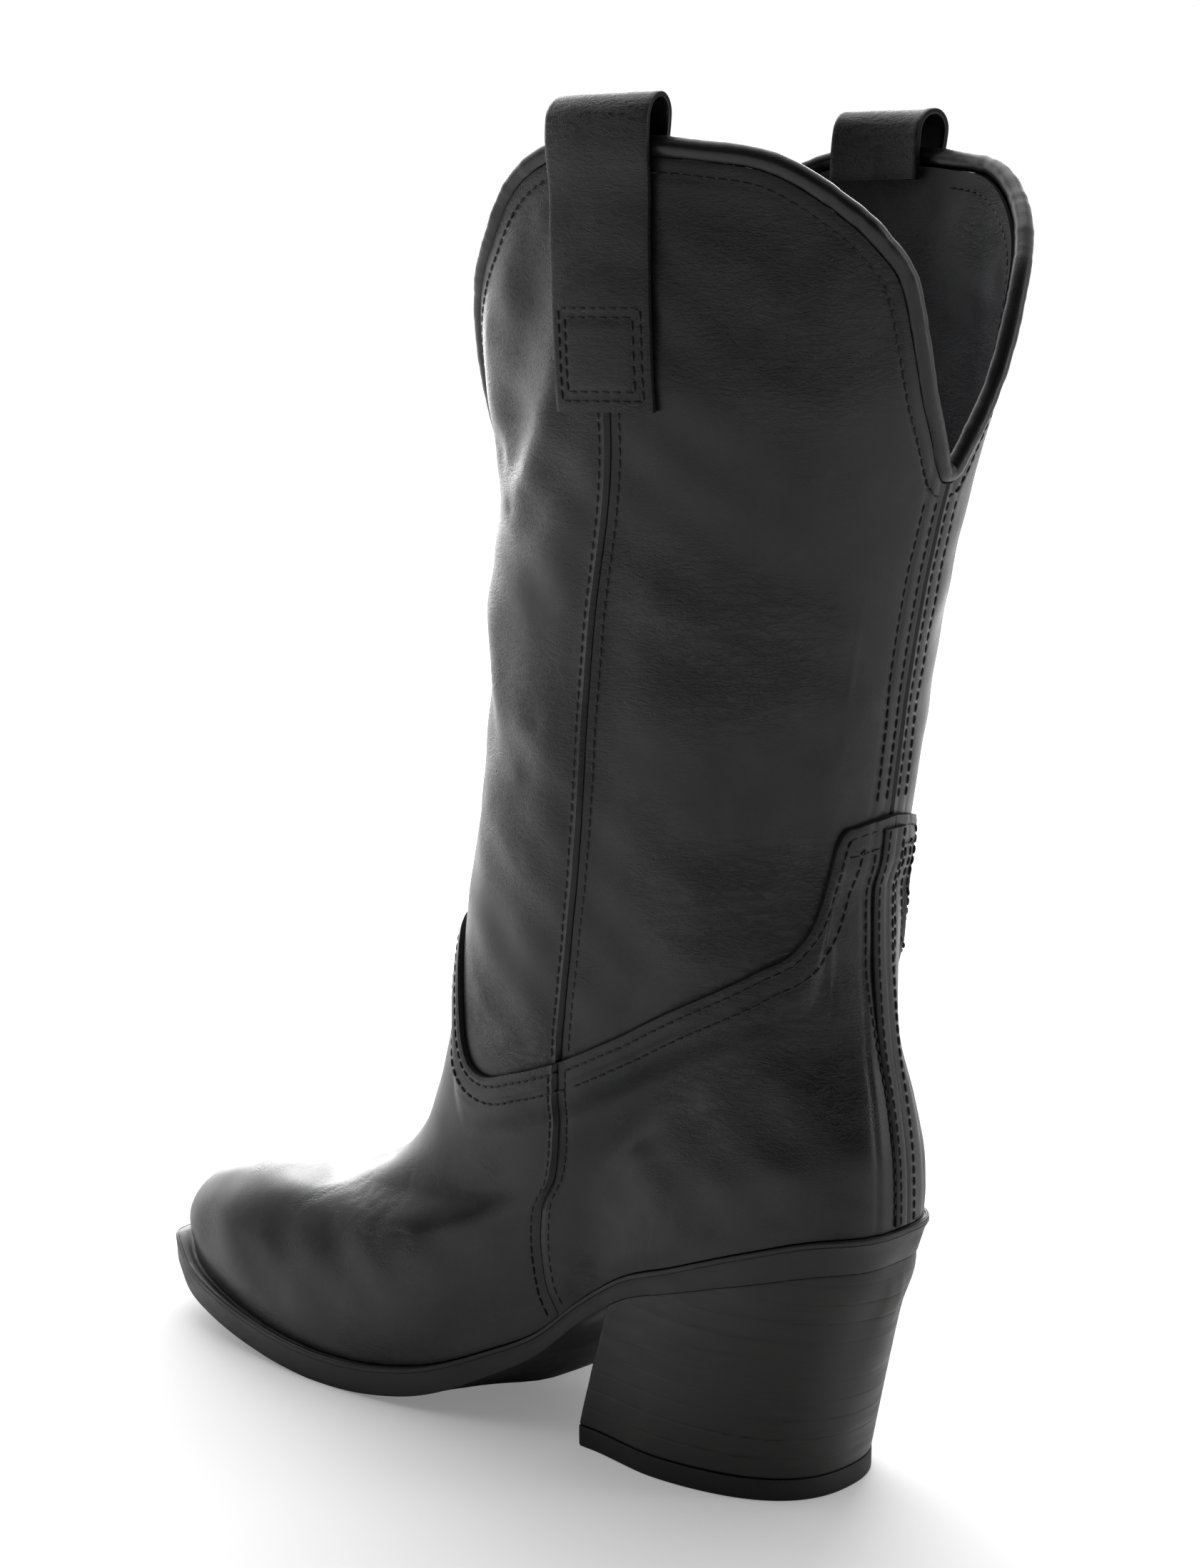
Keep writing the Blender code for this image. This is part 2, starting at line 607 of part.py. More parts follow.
def outsole_depth(y):
    """Thickness of the outsole unit over a place along the foot."""
    along = -np.asarray(y, float) / FOOT_LENGTH
    tread = TREAD_TOP - GAP
    waist = 0.74 * tread
    heel = waist + (SEAT_RAND - waist) * smoothstep(0.30, 0.02, along)
    return heel + (tread - heel) * smoothstep(0.34, 0.56, along)


def station_y(turns):
    return form(turns, np.zeros_like(turns))[:, 1]


def outsole_top(y):
    return edge_height(y) - GAP


def outsole_bottom(y):
    return outsole_top(y) - outsole_depth(y)


def outsole_underside(y, across):
    """Under face of the outsole, which bellies down in the waist, most on the outer side."""
    along = -np.asarray(y, float) / FOOT_LENGTH
    waist = smoothstep(0.325, 0.385, along) * (1 - smoothstep(0.470, 0.560, along))
    return outsole_bottom(y) - WAIST_BELLY * waist * belly_across(across)


def above_edge(rise):
    """Height of a flat layer that lies that far above the upper's lower edge."""
    return lambda y, across: edge_height(y) + rise


def make_bottom(rubber, board, cork, steel, sock):
    turns = bottom_turns()
    layer("outsole", turns, ledge_at(turns), above_edge(-GAP), outsole_underside, rubber,
          columns=6, taper=rand_taper(turns))
    reach = -(FOOT_LINING_DEPTH + LINING + 2 * GAP)
    inside = turns[(turns > 8) & (turns < 170)]
    fore = inside[station_y(inside) < FILLER_BACK_Y]
    layer("shank_filler", fore, reach - FILLER_INSET, above_edge(FILLER), above_edge(0), cork)
    board_low = FILLER + GAP
    layer("insole_board", inside, reach, above_edge(board_low + INSOLE),
          above_edge(board_low), board)
    sock_low = board_low + INSOLE + GAP
    layer("sock_lining", inside, reach, above_edge(sock_low + SOCK), above_edge(sock_low),
          sock)
    make_shank(steel)


def make_shank(steel):
    """Spring steel strip under the arch, from the heel seat to behind the ball."""
    y = station_y(bottom_turns())
    y = y[(y < HEEL_SCREW_Y - 0.006) & (y > BREAST_Y - 0.030)]
    half = SHANK_WIDTH / 2
    x = np.linspace(-half, half, 3)
    low = edge_height(y) + GAP
    grids = []
    for height in (low + SHANK_THICKNESS, low):
        grid = np.empty((len(y), len(x), 3))
        grid[..., 0] = x[None, :]
        grid[..., 1] = y[:, None]
        grid[..., 2] = height[:, None]
        grids.append(grid)
    plate("steel_shank", grids[0], grids[1], steel)


HEEL_RUN = np.array((0, 0.10, 0.22, 0.36, 0.50, 0.63, 0.74, 0.83, 0.90, 0.95, 0.985, 0.997))


def heel_ground_outline(inset):
    """Left and right points of the heel's outline at the ground, breast to back."""
    y = BREAST_Y_GROUND + (HEEL_BACK_GROUND - BREAST_Y_GROUND) * HEEL_RUN
    full = 0.84 + 0.16 * smoothstep(0, 0.45, HEEL_RUN)
    half = (HEEL_HALF_WIDTH - inset) * full * (1 - HEEL_RUN ** 4.2) ** (1 / 2.3)
    return y, -half, half


def heel_seat_outline():
    """The same where the block meets the rand, just inside the rand's lower edge."""
    back = OUTSOLE_LEDGE_HEEL - OUTSOLE_TAPER - REAR_TAPER - 0.0002
    y = BREAST_Y + (back - BREAST_Y) * HEEL_RUN
    turns = bottom_turns()
    left, right = bottom_outline(turns, ledge_at(turns) - rand_taper(turns) - 0.0002)
    low = np.interp(-y, -left[:, 1], left[:, 0])
    high = np.interp(-y, -right[:, 1], right[:, 0])
    return y, low, high


def heel_section(share, inset=0.0):
    """The block's outline part of the way down from the seat to the ground."""
    seat_y, seat_low, seat_high = heel_seat_outline()
    ground_y, ground_low, ground_high = heel_ground_outline(inset)
    lean = share ** 0.92
    y = seat_y + (ground_y - seat_y) * lean
    low = seat_low + (ground_low - seat_low) * lean
    high = seat_high + (ground_high - seat_high) * lean
    return y, low, high


def make_heel(stacked, rubber):
    columns = np.linspace(0, 1, 5)
    rings = []
    for share in (0.0, 0.18, 0.38, 0.58, 0.78, 1.0):
        y, low, high = heel_section(share)
        seat = outsole_bottom(heel_seat_outline()[0]) - GAP
        z = seat + (TOP_LIFT + GAP - seat) * share
        rings.append(np.stack((low, y, z, high), 1))
    loft("heel_block", rings, columns, stacked)
    y, low, high = heel_section(1.0, inset=-0.0003)
    lift = [np.stack((low, y, np.full_like(y, z), high), 1) for z in (TOP_LIFT, 0.0)]
    loft("heel_top_lift", lift, columns, rubber)


def loft(name, rings, columns, mat):
    """A closed body through outlines from top to bottom, each a row of (low x, y, z,
    high x) stations from the breast to the back."""
    stations = len(rings[0])
    across = len(columns)
    points = []
    for ring in rings:
        left = [(r[0], r[1], r[2]) for r in ring]
        right = [(r[3], r[1], r[2]) for r in ring]
        breast = [(ring[0][0] + (ring[0][3] - ring[0][0]) * c, ring[0][1], ring[0][2])
                  for c in columns[1:-1]]
        back = [(ring[-1][3] + (ring[-1][0] - ring[-1][3]) * c, ring[-1][1], ring[-1][2])
                for c in columns[1:-1]]
        points.append(left[::-1] + breast + right + back)
    count = len(points[0])
    flat = [p for ring in points for p in ring]
    faces = []
    for r in range(len(rings) - 1):
        for i in range(count):
            j = (i + 1) % count
            faces.append((r * count + i, r * count + j, (r + 1) * count + j,
                          (r + 1) * count + i))
    for r, ring in ((0, rings[0]), (len(rings) - 1, rings[-1])):
        grid = []
        for s in range(stations):
            row = []
            for k, c in enumerate(columns):
                if k == 0:
                    row.append(r * count + stations - 1 - s)
                elif k == across - 1:
                    row.append(r * count + stations + across - 2 + s)
                elif s == 0:
                    row.append(r * count + stations + k - 1)
                elif s == stations - 1:
                    row.append(r * count + 2 * stations + across - 2 + across - 2 - k)
                else:
                    x = ring[s][0] + (ring[s][3] - ring[s][0]) * c
                    flat.append((x, ring[s][1], ring[s][2]))
                    row.append(len(flat) - 1)
            grid.append(row)
        for s in range(stations - 1):
            for k in range(across - 1):
                faces.append((grid[s][k], grid[s][k + 1], grid[s + 1][k + 1],
                              grid[s + 1][k]))
    return solid(name, flat, faces, mat)


# ------------------------------------------------------------------------ fixings
def cylinder(name, x, y, low, high, radius, mat, sides=12):
    rings = []
    for z in (high, low):
        for k in range(sides):
            a = 2 * math.pi * k / sides
            rings.append((x + radius * math.cos(a), y + radius * math.sin(a), z))
    faces = [tuple(range(sides)), tuple(range(2 * sides - 1, sides - 1, -1))]
    for k in range(sides):
        m = (k + 1) % sides
        faces.append((k, m, sides + m, sides + k))
    return solid(name, rings, faces, mat)


def cut(part, tool):
    hole = part.modifiers.new("hole", "BOOLEAN")
    hole.operation = "DIFFERENCE"
    hole.solver = "EXACT"
    hole.object = tool
    tool.hide_render = True
    tool.display_type = "WIRE"


def make_fixings(steel):
    """The screw and the nails that hold the heel block, driven from inside the boot."""
    spots = [("heel_screw", 0.0, HEEL_SCREW_Y, HEEL_SCREW_RADIUS, 0.040)]
    for number, angle in enumerate((45, 135, 225, 315), 1):
        a = math.radians(angle)
        spots.append(("heel_nail_%d" % number, NAIL_RING * math.cos(a) * 0.85,
                      HEEL_SCREW_Y + NAIL_RING * math.sin(a), HEEL_NAIL_RADIUS, 0.026))
    for name, x, y, radius, length in spots:
        top = float(edge_height(y)) + FILLER + GAP + INSOLE * 0.4
        cylinder(name, x, y, top - length, top, radius, steel)
        hole = cylinder("hole_for_" + name, x, y, top - length - GAP, top + 0.010,
                        radius + GAP, steel)
        for part in ("insole_board", "outsole", "heel_block"):
            cut(bpy.data.objects[part], hole)


# -------------------------------------------------------------------------- the boot
for old in list(bpy.data.objects):
    bpy.data.objects.remove(old, do_unlink=True)
stand = bpy.data.objects.new("boot_origin", None)
bpy.context.collection.objects.link(stand)

black_leather = material("black_leather", (0.012, 0.012, 0.013), 0.38)
edge_leather = material("edge_leather", (0.010, 0.010, 0.011), 0.42)
lining_leather = material("lining_leather", (0.016, 0.017, 0.022), 0.62)
seam_tape = material("seam_tape", (0.03, 0.03, 0.03), 0.8)
stiffener_board = material("stiffener_board", (0.35, 0.29, 0.20), 0.85)
sole_rubber = material("sole_rubber", (0.016, 0.016, 0.017), 0.6)
stacked_heel = material("stacked_heel", (0.020, 0.019, 0.019), 0.5)
insole_fibre = material("insole_fibre", (0.30, 0.20, 0.12), 0.9)
cork = material("cork", (0.42, 0.26, 0.14), 0.95)
steel = material("steel", (0.55, 0.55, 0.56), 0.35, 1.0)

make_upper(black_leather, edge_leather)
make_pull_straps(black_leather)
make_inner_layers(lining_leather, seam_tape, stiffener_board)
make_bottom(sole_rubber, insole_fibre, cork, steel, lining_leather)
make_heel(stacked_heel, sole_rubber)
make_fixings(steel)

# The stand puts the bottom centre of the boot's box at the origin.
bpy.context.view_layer.update()
corners = np.array([p.co[:] for part in bpy.data.objects if part.type == "MESH"
                    and not part.hide_render for p in part.data.vertices])
middle = (corners.min(axis=0) + corners.max(axis=0)) / 2
stand.location = (-middle[0], -middle[1], -corners[:, 2].min())
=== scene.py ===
"""Looks of the pull-on western boot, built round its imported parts.

The pieces repeat the boot's form from its design: a point of the upper is given by its
turn, in degrees round from the back seam, and its level, from the sole's edge (0) to the
top (1). Lengths are metres in the boot's own frame, moved by SHIFT into the row's frame.
"""
import math

import bpy
import bmesh
import mathutils
import numpy as np
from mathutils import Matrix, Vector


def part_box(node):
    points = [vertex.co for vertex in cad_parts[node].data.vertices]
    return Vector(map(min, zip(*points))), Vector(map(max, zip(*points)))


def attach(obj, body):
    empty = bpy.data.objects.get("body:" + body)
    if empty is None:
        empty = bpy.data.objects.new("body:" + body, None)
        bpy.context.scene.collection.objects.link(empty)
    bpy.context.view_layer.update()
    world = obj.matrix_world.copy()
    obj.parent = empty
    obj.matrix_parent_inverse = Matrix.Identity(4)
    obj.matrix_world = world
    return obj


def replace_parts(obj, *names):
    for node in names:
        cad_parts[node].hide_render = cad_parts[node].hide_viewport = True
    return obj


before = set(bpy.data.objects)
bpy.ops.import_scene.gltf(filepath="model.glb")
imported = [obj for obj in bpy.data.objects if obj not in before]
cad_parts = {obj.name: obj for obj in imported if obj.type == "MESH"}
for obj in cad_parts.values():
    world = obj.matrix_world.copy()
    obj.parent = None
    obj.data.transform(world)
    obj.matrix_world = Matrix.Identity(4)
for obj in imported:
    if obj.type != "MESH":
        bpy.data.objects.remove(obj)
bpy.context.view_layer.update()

# ---------------------------------------------------------------- driving sizes
FOOT_LENGTH = 0.270        # back of the heel seat to the tip of the upper
BALL_WIDTH = 0.080         # upper across the ball
CALF_WIDTH = 0.112         # shaft across, seam to seam, at the calf
SHAFT_LEVEL = 0.378        # height of the shaft form's top level, above the collar
HEEL_SEAT = 0.0775         # height of the upper's edge at the back of the heel
TREAD_TOP = 0.009          # height of the upper's edge at the ball
TOE_SPRING = 0.013         # how much higher the upper's edge is at the toe tip

LEATHER = 0.0014           # upper leather
LINING = 0.0010            # lining leather
STAY = 0.0006              # seam tape
TOE_PUFF = 0.0010          # stiffener over the toes
COUNTER_STIFFENER = 0.0014 # moulded cup round the heel
GAP = 0.0004               # clearance between two layers that lie together

LAP = 0.009                # how far the shaft runs down inside the vamp and counters
PIPING_RADIUS = 0.0025     # rolled collar piping
STRAP_WIDTH = 0.031        # pull strap
STRAP_THICKNESS = 0.0018
STRAP_LOOP_RISE = 0.0155   # top of the pull loop above the collar's crest
STRAP_DROP = 0.062         # collar crest to the sewn end of the strap
STRAP_TUCK = 0.0040        # the strap's inner end lies that far below the collar
STRAP_TURN = 89            # degrees round from the back seam to the strap's middle
BACKSTAY_WIDTH = 0.0085    # strip over the heel's back seam
BACKSTAY_THICKNESS = 0.0012

OUTSOLE_LEDGE_TOE = 0.0045  # outsole edge beyond the upper at the toe
OUTSOLE_LEDGE_BALL = 0.0030
OUTSOLE_LEDGE_HEEL = 0.0014
WAIST_BELLY = 0.0090       # how far the outsole bellies down under the arch
SEAT_RAND = 0.0100         # outsole thickness at the back of the heel seat
BREAST_Y = -0.084          # front face of the heel, at the seat
BREAST_Y_GROUND = -0.0945  # the same at the ground
HEEL_HALF_WIDTH = 0.0305   # heel block at the ground
HEEL_BACK_GROUND = -0.0185 # back of the heel block at the ground
TOP_LIFT = 0.0060          # rubber tread piece of the heel

INSOLE = 0.0022            # insole board
FILLER = 0.0024            # layer under the insole board
OUTSOLE_TAPER = 0.0006     # the outsole's wall leans in that much at its foot
REAR_TAPER = 0.0026        # and that much more at the back of the heel
TOE_SNIP = 0.0018          # how far the corners of the toe stand out from its round
SOCK = 0.0016              # sock lining
MM = 0.001

# ------------------------------------------------------------------ smooth curves
def curve(stations, values):
    """A smooth curve through (station, value) pairs, flat beyond its ends."""
    x = np.array(stations, float)
    y = np.array(values, float)
    step = np.diff(x)
    slope = np.diff(y) / step
    tangent = np.concatenate(([slope[0]], np.empty(len(x) - 2), [slope[-1]]))
    tangent[1:-1] = (slope[:-1] * step[1:] + slope[1:] * step[:-1]) / (step[:-1] + step[1:])

    def at(position):
        p = np.clip(np.asarray(position, float), x[0], x[-1])
        i = np.clip(np.searchsorted(x, p, side="right") - 1, 0, len(step) - 1)
        u = (p - x[i]) / step[i]
        rise = (3 - 2 * u) * u * u
        return (y[i] * (1 - rise) + y[i + 1] * rise
                + step[i] * u * (1 - u) * (tangent[i] * (1 - u) - tangent[i + 1] * u))

    return at


def smoothstep(low, high, value):
    u = np.clip((np.asarray(value, float) - low) / (high - low), 0, 1)
    return u * u * (3 - 2 * u)


# ------------------------------------------------------------------- form of boot
# Each row is one level of the form, from the edge of the sole (0) to the top (1):
# level, front and back positions as shares of the foot length, front and back heights
# as shares of the rise from the sole's edge to the top, half width as a share of
# the ball's or the calf's, how far it follows the calf, where along the level the
# widest point lies, and how square the back and the front are.
LEVELS = (
    (0.00, 1.000, 0.011, 0.000, 0.000, 1.000, 0.0, 0.62, 3.2, 1.6),
    (0.05, 1.004, 0.011, 0.025, 0.028, 1.012, 0.0, 0.62, 3.1, 1.6),
    (0.10, 0.970, 0.013, 0.053, 0.062, 1.000, 0.0, 0.60, 3.0, 1.7),
    (0.16, 0.889, 0.020, 0.079, 0.105, 0.938, 0.0, 0.57, 2.8, 1.8),
    (0.24, 0.733, 0.031, 0.101, 0.155, 0.838, 0.0, 0.53, 2.5, 1.9),
    (0.32, 0.633, 0.037, 0.140, 0.201, 0.838, 0.1, 0.50, 2.2, 2.0),
    (0.40, 0.589, 0.041, 0.211, 0.251, 0.837, 0.4, 0.48, 2.1, 2.0),
    (0.48, 0.556, 0.041, 0.303, 0.308, 0.810, 0.7, 0.48, 2.1, 2.1),
    (0.58, 0.525, 0.028, 0.430, 0.408, 0.795, 1.0, 0.49, 2.1, 2.1),
    (0.70, 0.496, 0.003, 0.579, 0.551, 0.875, 1.0, 0.50, 2.0, 2.0),
    (0.78, 0.481, -0.025, 0.687, 0.658, 0.935, 1.0, 0.50, 2.0, 2.0),
    (0.86, 0.500, -0.057, 0.792, 0.763, 1.025, 1.0, 0.50, 2.0, 2.0),
    (0.93, 0.511, -0.079, 0.890, 0.876, 1.080, 1.0, 0.50, 2.0, 2.0),
    (1.00, 0.500, -0.096, 1.000, 1.000, 1.105, 1.0, 0.50, 2.0, 2.0),
)
(LEVEL, FRONT_Y, BACK_Y, FRONT_Z, BACK_Z, WIDTH,
 CALF_SHARE, WIDEST, BACK_SQUARE, FRONT_SQUARE) = np.array(LEVELS).T
front_y_at = curve(LEVEL, -FRONT_Y * FOOT_LENGTH)
back_y_at = curve(LEVEL, -BACK_Y * FOOT_LENGTH)
front_z_share = curve(LEVEL, FRONT_Z)
back_z_share = curve(LEVEL, BACK_Z)
half_width_at = curve(
    LEVEL, WIDTH * ((1 - CALF_SHARE) * BALL_WIDTH + CALF_SHARE * CALF_WIDTH) / 2)
widest_at = curve(LEVEL, WIDEST)
back_square_at = curve(LEVEL, BACK_SQUARE)
front_square_at = curve(LEVEL, FRONT_SQUARE)

# The edge of the sole seen from the side: share of the foot length from the heel,
# and the share of the heel seat's height above the tread.
edge_share_at = curve(
    (0.00, 0.055, 0.130, 0.222, 0.296, 0.352, 0.400, 0.463, 0.537, 0.611, 0.704, 0.80),
    (1.00, 0.978, 0.890, 0.752, 0.635, 0.482, 0.321, 0.190, 0.073, 0.015, 0.00, 0.01))
toe_spring_at = curve((0.70, 0.80, 0.89, 0.97, 1.00), (0.0, 0.12, 0.42, 0.77, 1.0))
edge_fade_at = curve((0, 0.05, 0.16, 0.32, 0.5, 1), (1, 0.93, 0.62, 0.22, 0, 0))
pinch_fade_at = curve((0, 0.1, 0.24, 0.4, 0.6, 1), (1, 0.85, 0.5, 0.2, 0, 0))
bend_fade_at = curve((0, 0.15, 0.4, 0.6, 1), (1, 0.9, 0.4, 0, 0))
foot_bend_at = curve((0, 0.2, 0.4, 0.62, 0.8, 1), (0, 0, -0.001, -0.003, -0.001, 0.005))
INNER_PINCH = 0.31
OUTER_PINCH = 0.25


def edge_height(y):
    """Height of the upper's lower edge over a place along the foot."""
    along = -np.asarray(y, float) / FOOT_LENGTH
    arch = TREAD_TOP + edge_share_at(along) * (HEEL_SEAT - TREAD_TOP)
    return arch + toe_spring_at(along) * TOE_SPRING


def form(turn, level):
    """A point of the boot's outer form. turn is in degrees round from the back."""
    turn, level = np.broadcast_arrays(np.asarray(turn, float), np.asarray(level, float))
    angle = np.radians(turn)
    along = (1 - np.cos(angle)) / 2
    y = back_y_at(level) + (front_y_at(level) - back_y_at(level)) * along
    sole_y = back_y_at(0) + (front_y_at(0) - back_y_at(0)) * along
    toe_edge = edge_height(front_y_at(0))
    heel_edge = edge_height(back_y_at(0))
    front_z = toe_edge + front_z_share(level) * (SHAFT_LEVEL - toe_edge)
    back_z = heel_edge + back_z_share(level) * (SHAFT_LEVEL - heel_edge)
    straight = heel_edge + (toe_edge - heel_edge) * along
    z = back_z + (front_z - back_z) * along
    z = z + (edge_height(sole_y) - straight) * edge_fade_at(level)
    widest = widest_at(level)
    behind = along < widest
    reach = np.where(behind, (widest - along) / widest, (along - widest) / (1 - widest))
    square = np.where(behind, back_square_at(level), front_square_at(level))
    outline = np.clip(1 - reach * reach, 0, 1) ** (1 / square)
    inner_side = np.sin(angle) >= 0
    pinch = np.where(inner_side, INNER_PINCH, OUTER_PINCH) * pinch_fade_at(level)
    waist = 1 - pinch * np.exp(-(((along - 0.34) / 0.17) ** 2))
    x = half_width_at(level) * outline * waist * np.where(inner_side, 1, -1)
    x = x + foot_bend_at(along) * bend_fade_at(level)
    return np.stack([x, y, z], -1)


def unit(vectors):
    return vectors / np.linalg.norm(vectors, axis=-1, keepdims=True)


def run_along(line):
    """Length along a line of points, at each of them."""
    return np.concatenate(([0], np.cumsum(np.linalg.norm(np.diff(line, axis=0), axis=1))))


def eased(ring, times):
    """A closed ring of points or directions, smoothed."""
    for _ in range(times):
        ring = (np.roll(ring, 1, 0) + 2 * ring + np.roll(ring, -1, 0)) / 4
    return ring


def normal(turn, level):
    """Outward unit normal of the form."""
    turn, level = np.broadcast_arrays(np.asarray(turn, float), np.asarray(level, float))
    low = np.clip(level - 0.004, 0, 1)
    high = np.clip(level + 0.004, 0, 1)
    round_step = form(turn + 1.0, level) - form(turn - 1.0, level)
    up_step = form(turn, high) - form(turn, low)
    return unit(np.cross(up_step, round_step))


def skin(turn, level, offset):
    """A point at a distance outside the form."""
    return form(turn, level) + normal(turn, level) * np.asarray(offset, float)[..., None]


def round_way(turn, level):
    """Unit vector round the form, towards a larger turn."""
    return unit(form(turn + 0.5, level) - form(turn - 0.5, level))


def lower(turn, level, distance):
    """The level that lies a distance in metres below another, along the form."""
    level = np.asarray(level, float)
    step = form(turn, level) - form(turn, level - 0.01)
    return level - 0.01 * distance / np.linalg.norm(step, axis=-1)


# ------------------------------------------------------------- seam and edge lines
side_seam_at = curve((0, 0.02, 0.09, 0.19, 0.26, 0.32, 0.38, 0.54, 0.70, 0.83, 1.0),
                     (75, 75.4, 77.6, 83.4, 89.6, 93.8, 94.5, 92.5, 91.5, 88.5, 88))
vamp_line = curve((0, 94.5, 109, 120.5, 128, 133, 138.5, 146, 156, 168, 180),
                  (0.383, 0.383, 0.383, 0.386, 0.401, 0.419, 0.446, 0.478, 0.502, 0.512, 0.515))
counter_line = curve((0, 6.5, 15.5, 19.5, 21.5, 23.5, 26.5, 32, 43.5, 58, 73.5, 94.5),
                     (0.541, 0.539, 0.536, 0.533, 0.522, 0.490, 0.456, 0.426, 0.409, 0.398,
                      0.391, 0.383))
collar_line = curve(
    (0, 3, 5.5, 8, 11.5, 17.5, 22.5, 27, 34, 43.5, 55, 70, 90, 104, 114, 123, 132, 140, 147,
     154, 163, 172, 180),
    (0.776, 0.777, 0.782, 0.791, 0.806, 0.833, 0.864, 0.892, 0.912, 0.930, 0.946, 0.953,
     0.956, 0.953, 0.940, 0.917, 0.896, 0.872, 0.838, 0.807, 0.785, 0.773, 0.769))

# Stations round the boot that every layer shares, so that layers stay parallel.
SIDE = 94.5
BACK_TURNS = np.array((0, 3, 6, 9, 12, 15, 18, 21, 24, 29, 36, 44, 53, 63, 72, 80, 87, SIDE))
HALF_FRONT = (SIDE, 97.5, 101, 105, 110, 116, 123, 131, 140, 150, 160, 170)
FRONT_TURNS = np.array(HALF_FRONT + (180,) + tuple(360 - t for t in reversed(HALF_FRONT)))


def folded(turn):
    """A turn past the toe counted back from the heel, for lines alike on both sides."""
    turn = np.abs(np.asarray(turn, float))
    return np.where(turn > 180, 360 - turn, turn)


def front_turn(nominal, level):
    """Moves a nominal front station so that the first and last lie on the side seams."""
    seam = side_seam_at(level)
    share = (nominal - SIDE) / (360 - 2 * SIDE)
    return seam + (360 - 2 * seam) * share


def back_turn(nominal, level):
    """The same for a back station, which may be on either side."""
    return nominal * side_seam_at(level) / SIDE


# Depths of the inner layers' outer faces below the form.
STAY_DEPTH = LEATHER + GAP
SHAFT_LINING_DEPTH = STAY_DEPTH + STAY + GAP
FOOT_LINING_DEPTH = STAY_DEPTH + max(TOE_PUFF, COUNTER_STIFFENER) + GAP
LAP_RISE = LEATHER + GAP   # how far the vamp and counters stand off to clear the shaft
LINING_JOIN = 0.36         # level at which the shaft's lining meets the foot's
LINING_FOOT = 0.02         # level of the foot lining's lower edge
STEP_RUN = 0.012           # length over which a lapping piece steps out over the shaft
STEP_CLEAR = 0.001         # the step ends that far below the shaft's lower edge


def level_row(value):
    return lambda turn: np.full(np.shape(turn), float(value))


def raised_over(line):
    """Offset of a piece that laps over the shaft's edge along a line."""
    def offset(turns, levels):
        edge = line(folded(turns))
        start = lower(turns, edge, LAP + STEP_CLEAR + STEP_RUN)
        full = lower(turns, edge, LAP + STEP_CLEAR)
        return LAP_RISE * smoothstep(start, full, levels)
    return offset


def on_line(line, place):
    """The level at which a station meets a line round the boot."""
    def level_at(nominal):
        level = line(folded(nominal))
        for _ in range(4):
            level = line(folded(place(nominal, level)))
        return level
    return level_at


vamp_edge = on_line(vamp_line, front_turn)
counter_edge = on_line(counter_line, back_turn)
front_collar = on_line(collar_line, front_turn)
back_collar = on_line(collar_line, back_turn)


def below(line, distance):
    return lambda turn: lower(turn, line(turn), distance)


def turn_for_x(distance, level):
    """The turn near the heel's back at which the form is that far from the middle."""
    turns = np.linspace(0, 40, 400)
    level = np.broadcast_to(level, np.shape(distance))
    found = [np.interp(abs(d), form(turns, v)[:, 0], turns) for d, v in zip(distance, level)]
    return np.sign(distance) * np.array(found)


def collar_frame(turn):
    """Edge points of the collar, its outward normals and its upward directions."""
    level = collar_line(folded(turn))
    ahead = form(turn + 0.5, collar_line(folded(turn + 0.5)))
    behind = form(turn - 0.5, collar_line(folded(turn - 0.5)))
    out = normal(turn, level)
    up = unit(np.cross(out, unit(ahead - behind)))
    up *= np.where(up[..., 2:] < 0, -1, 1)
    return form(turn, level), out, up


def along_foot(turns):
    """Share of the foot's length at which a turn meets the sole's edge."""
    return -form(turns, np.zeros_like(turns))[:, 1] / FOOT_LENGTH


def ledge_at(turns):
    along = along_foot(turns)
    heel_part = OUTSOLE_LEDGE_HEEL * (1 - smoothstep(0.40, 0.58, along))
    ball_part = OUTSOLE_LEDGE_BALL * smoothstep(0.40, 0.58, along)
    toe_part = (OUTSOLE_LEDGE_TOE - OUTSOLE_LEDGE_BALL) * smoothstep(0.78, 0.98, along)
    snip = TOE_SNIP * np.exp(-((folded(turns) - 168) / 6.5) ** 2)
    return heel_part + ball_part + toe_part + snip


def rand_taper(turns):
    """How far the outsole's wall leans in at its foot, in line with the heel at the back."""
    return OUTSOLE_TAPER + REAR_TAPER * (1 - smoothstep(0.0, 0.14, along_foot(turns)))


def outsole_depth(y):
    """Thickness of the outsole unit over a place along the foot."""
    along = -np.asarray(y, float) / FOOT_LENGTH
    tread = TREAD_TOP - GAP
    waist = 0.74 * tread
    heel = waist + (SEAT_RAND - waist) * smoothstep(0.30, 0.02, along)
    return heel + (tread - heel) * smoothstep(0.34, 0.56, along)


def outsole_top(y):
    return edge_height(y) - GAP


def outsole_bottom(y):
    return outsole_top(y) - outsole_depth(y)


belly_across = curve((0, 0.2, 0.5, 0.8, 1), (0.45, 0.85, 1.0, 0.45, 0))


def belly(y, across):
    """How far the outsole hangs lower in the waist, most on the outer side."""
    along = -np.asarray(y, float) / FOOT_LENGTH
    waist = smoothstep(0.325, 0.385, along) * (1 - smoothstep(0.470, 0.560, along))
    return WAIST_BELLY * waist * belly_across(across)


def outline_frame(turns):
    """Points of the upper's lower edge and flat outward directions, for signed turns."""
    points = form(turns, np.zeros_like(turns))
    out = normal(turns, np.zeros_like(turns))
    out[:, 2] = 0
    return points, unit(out)


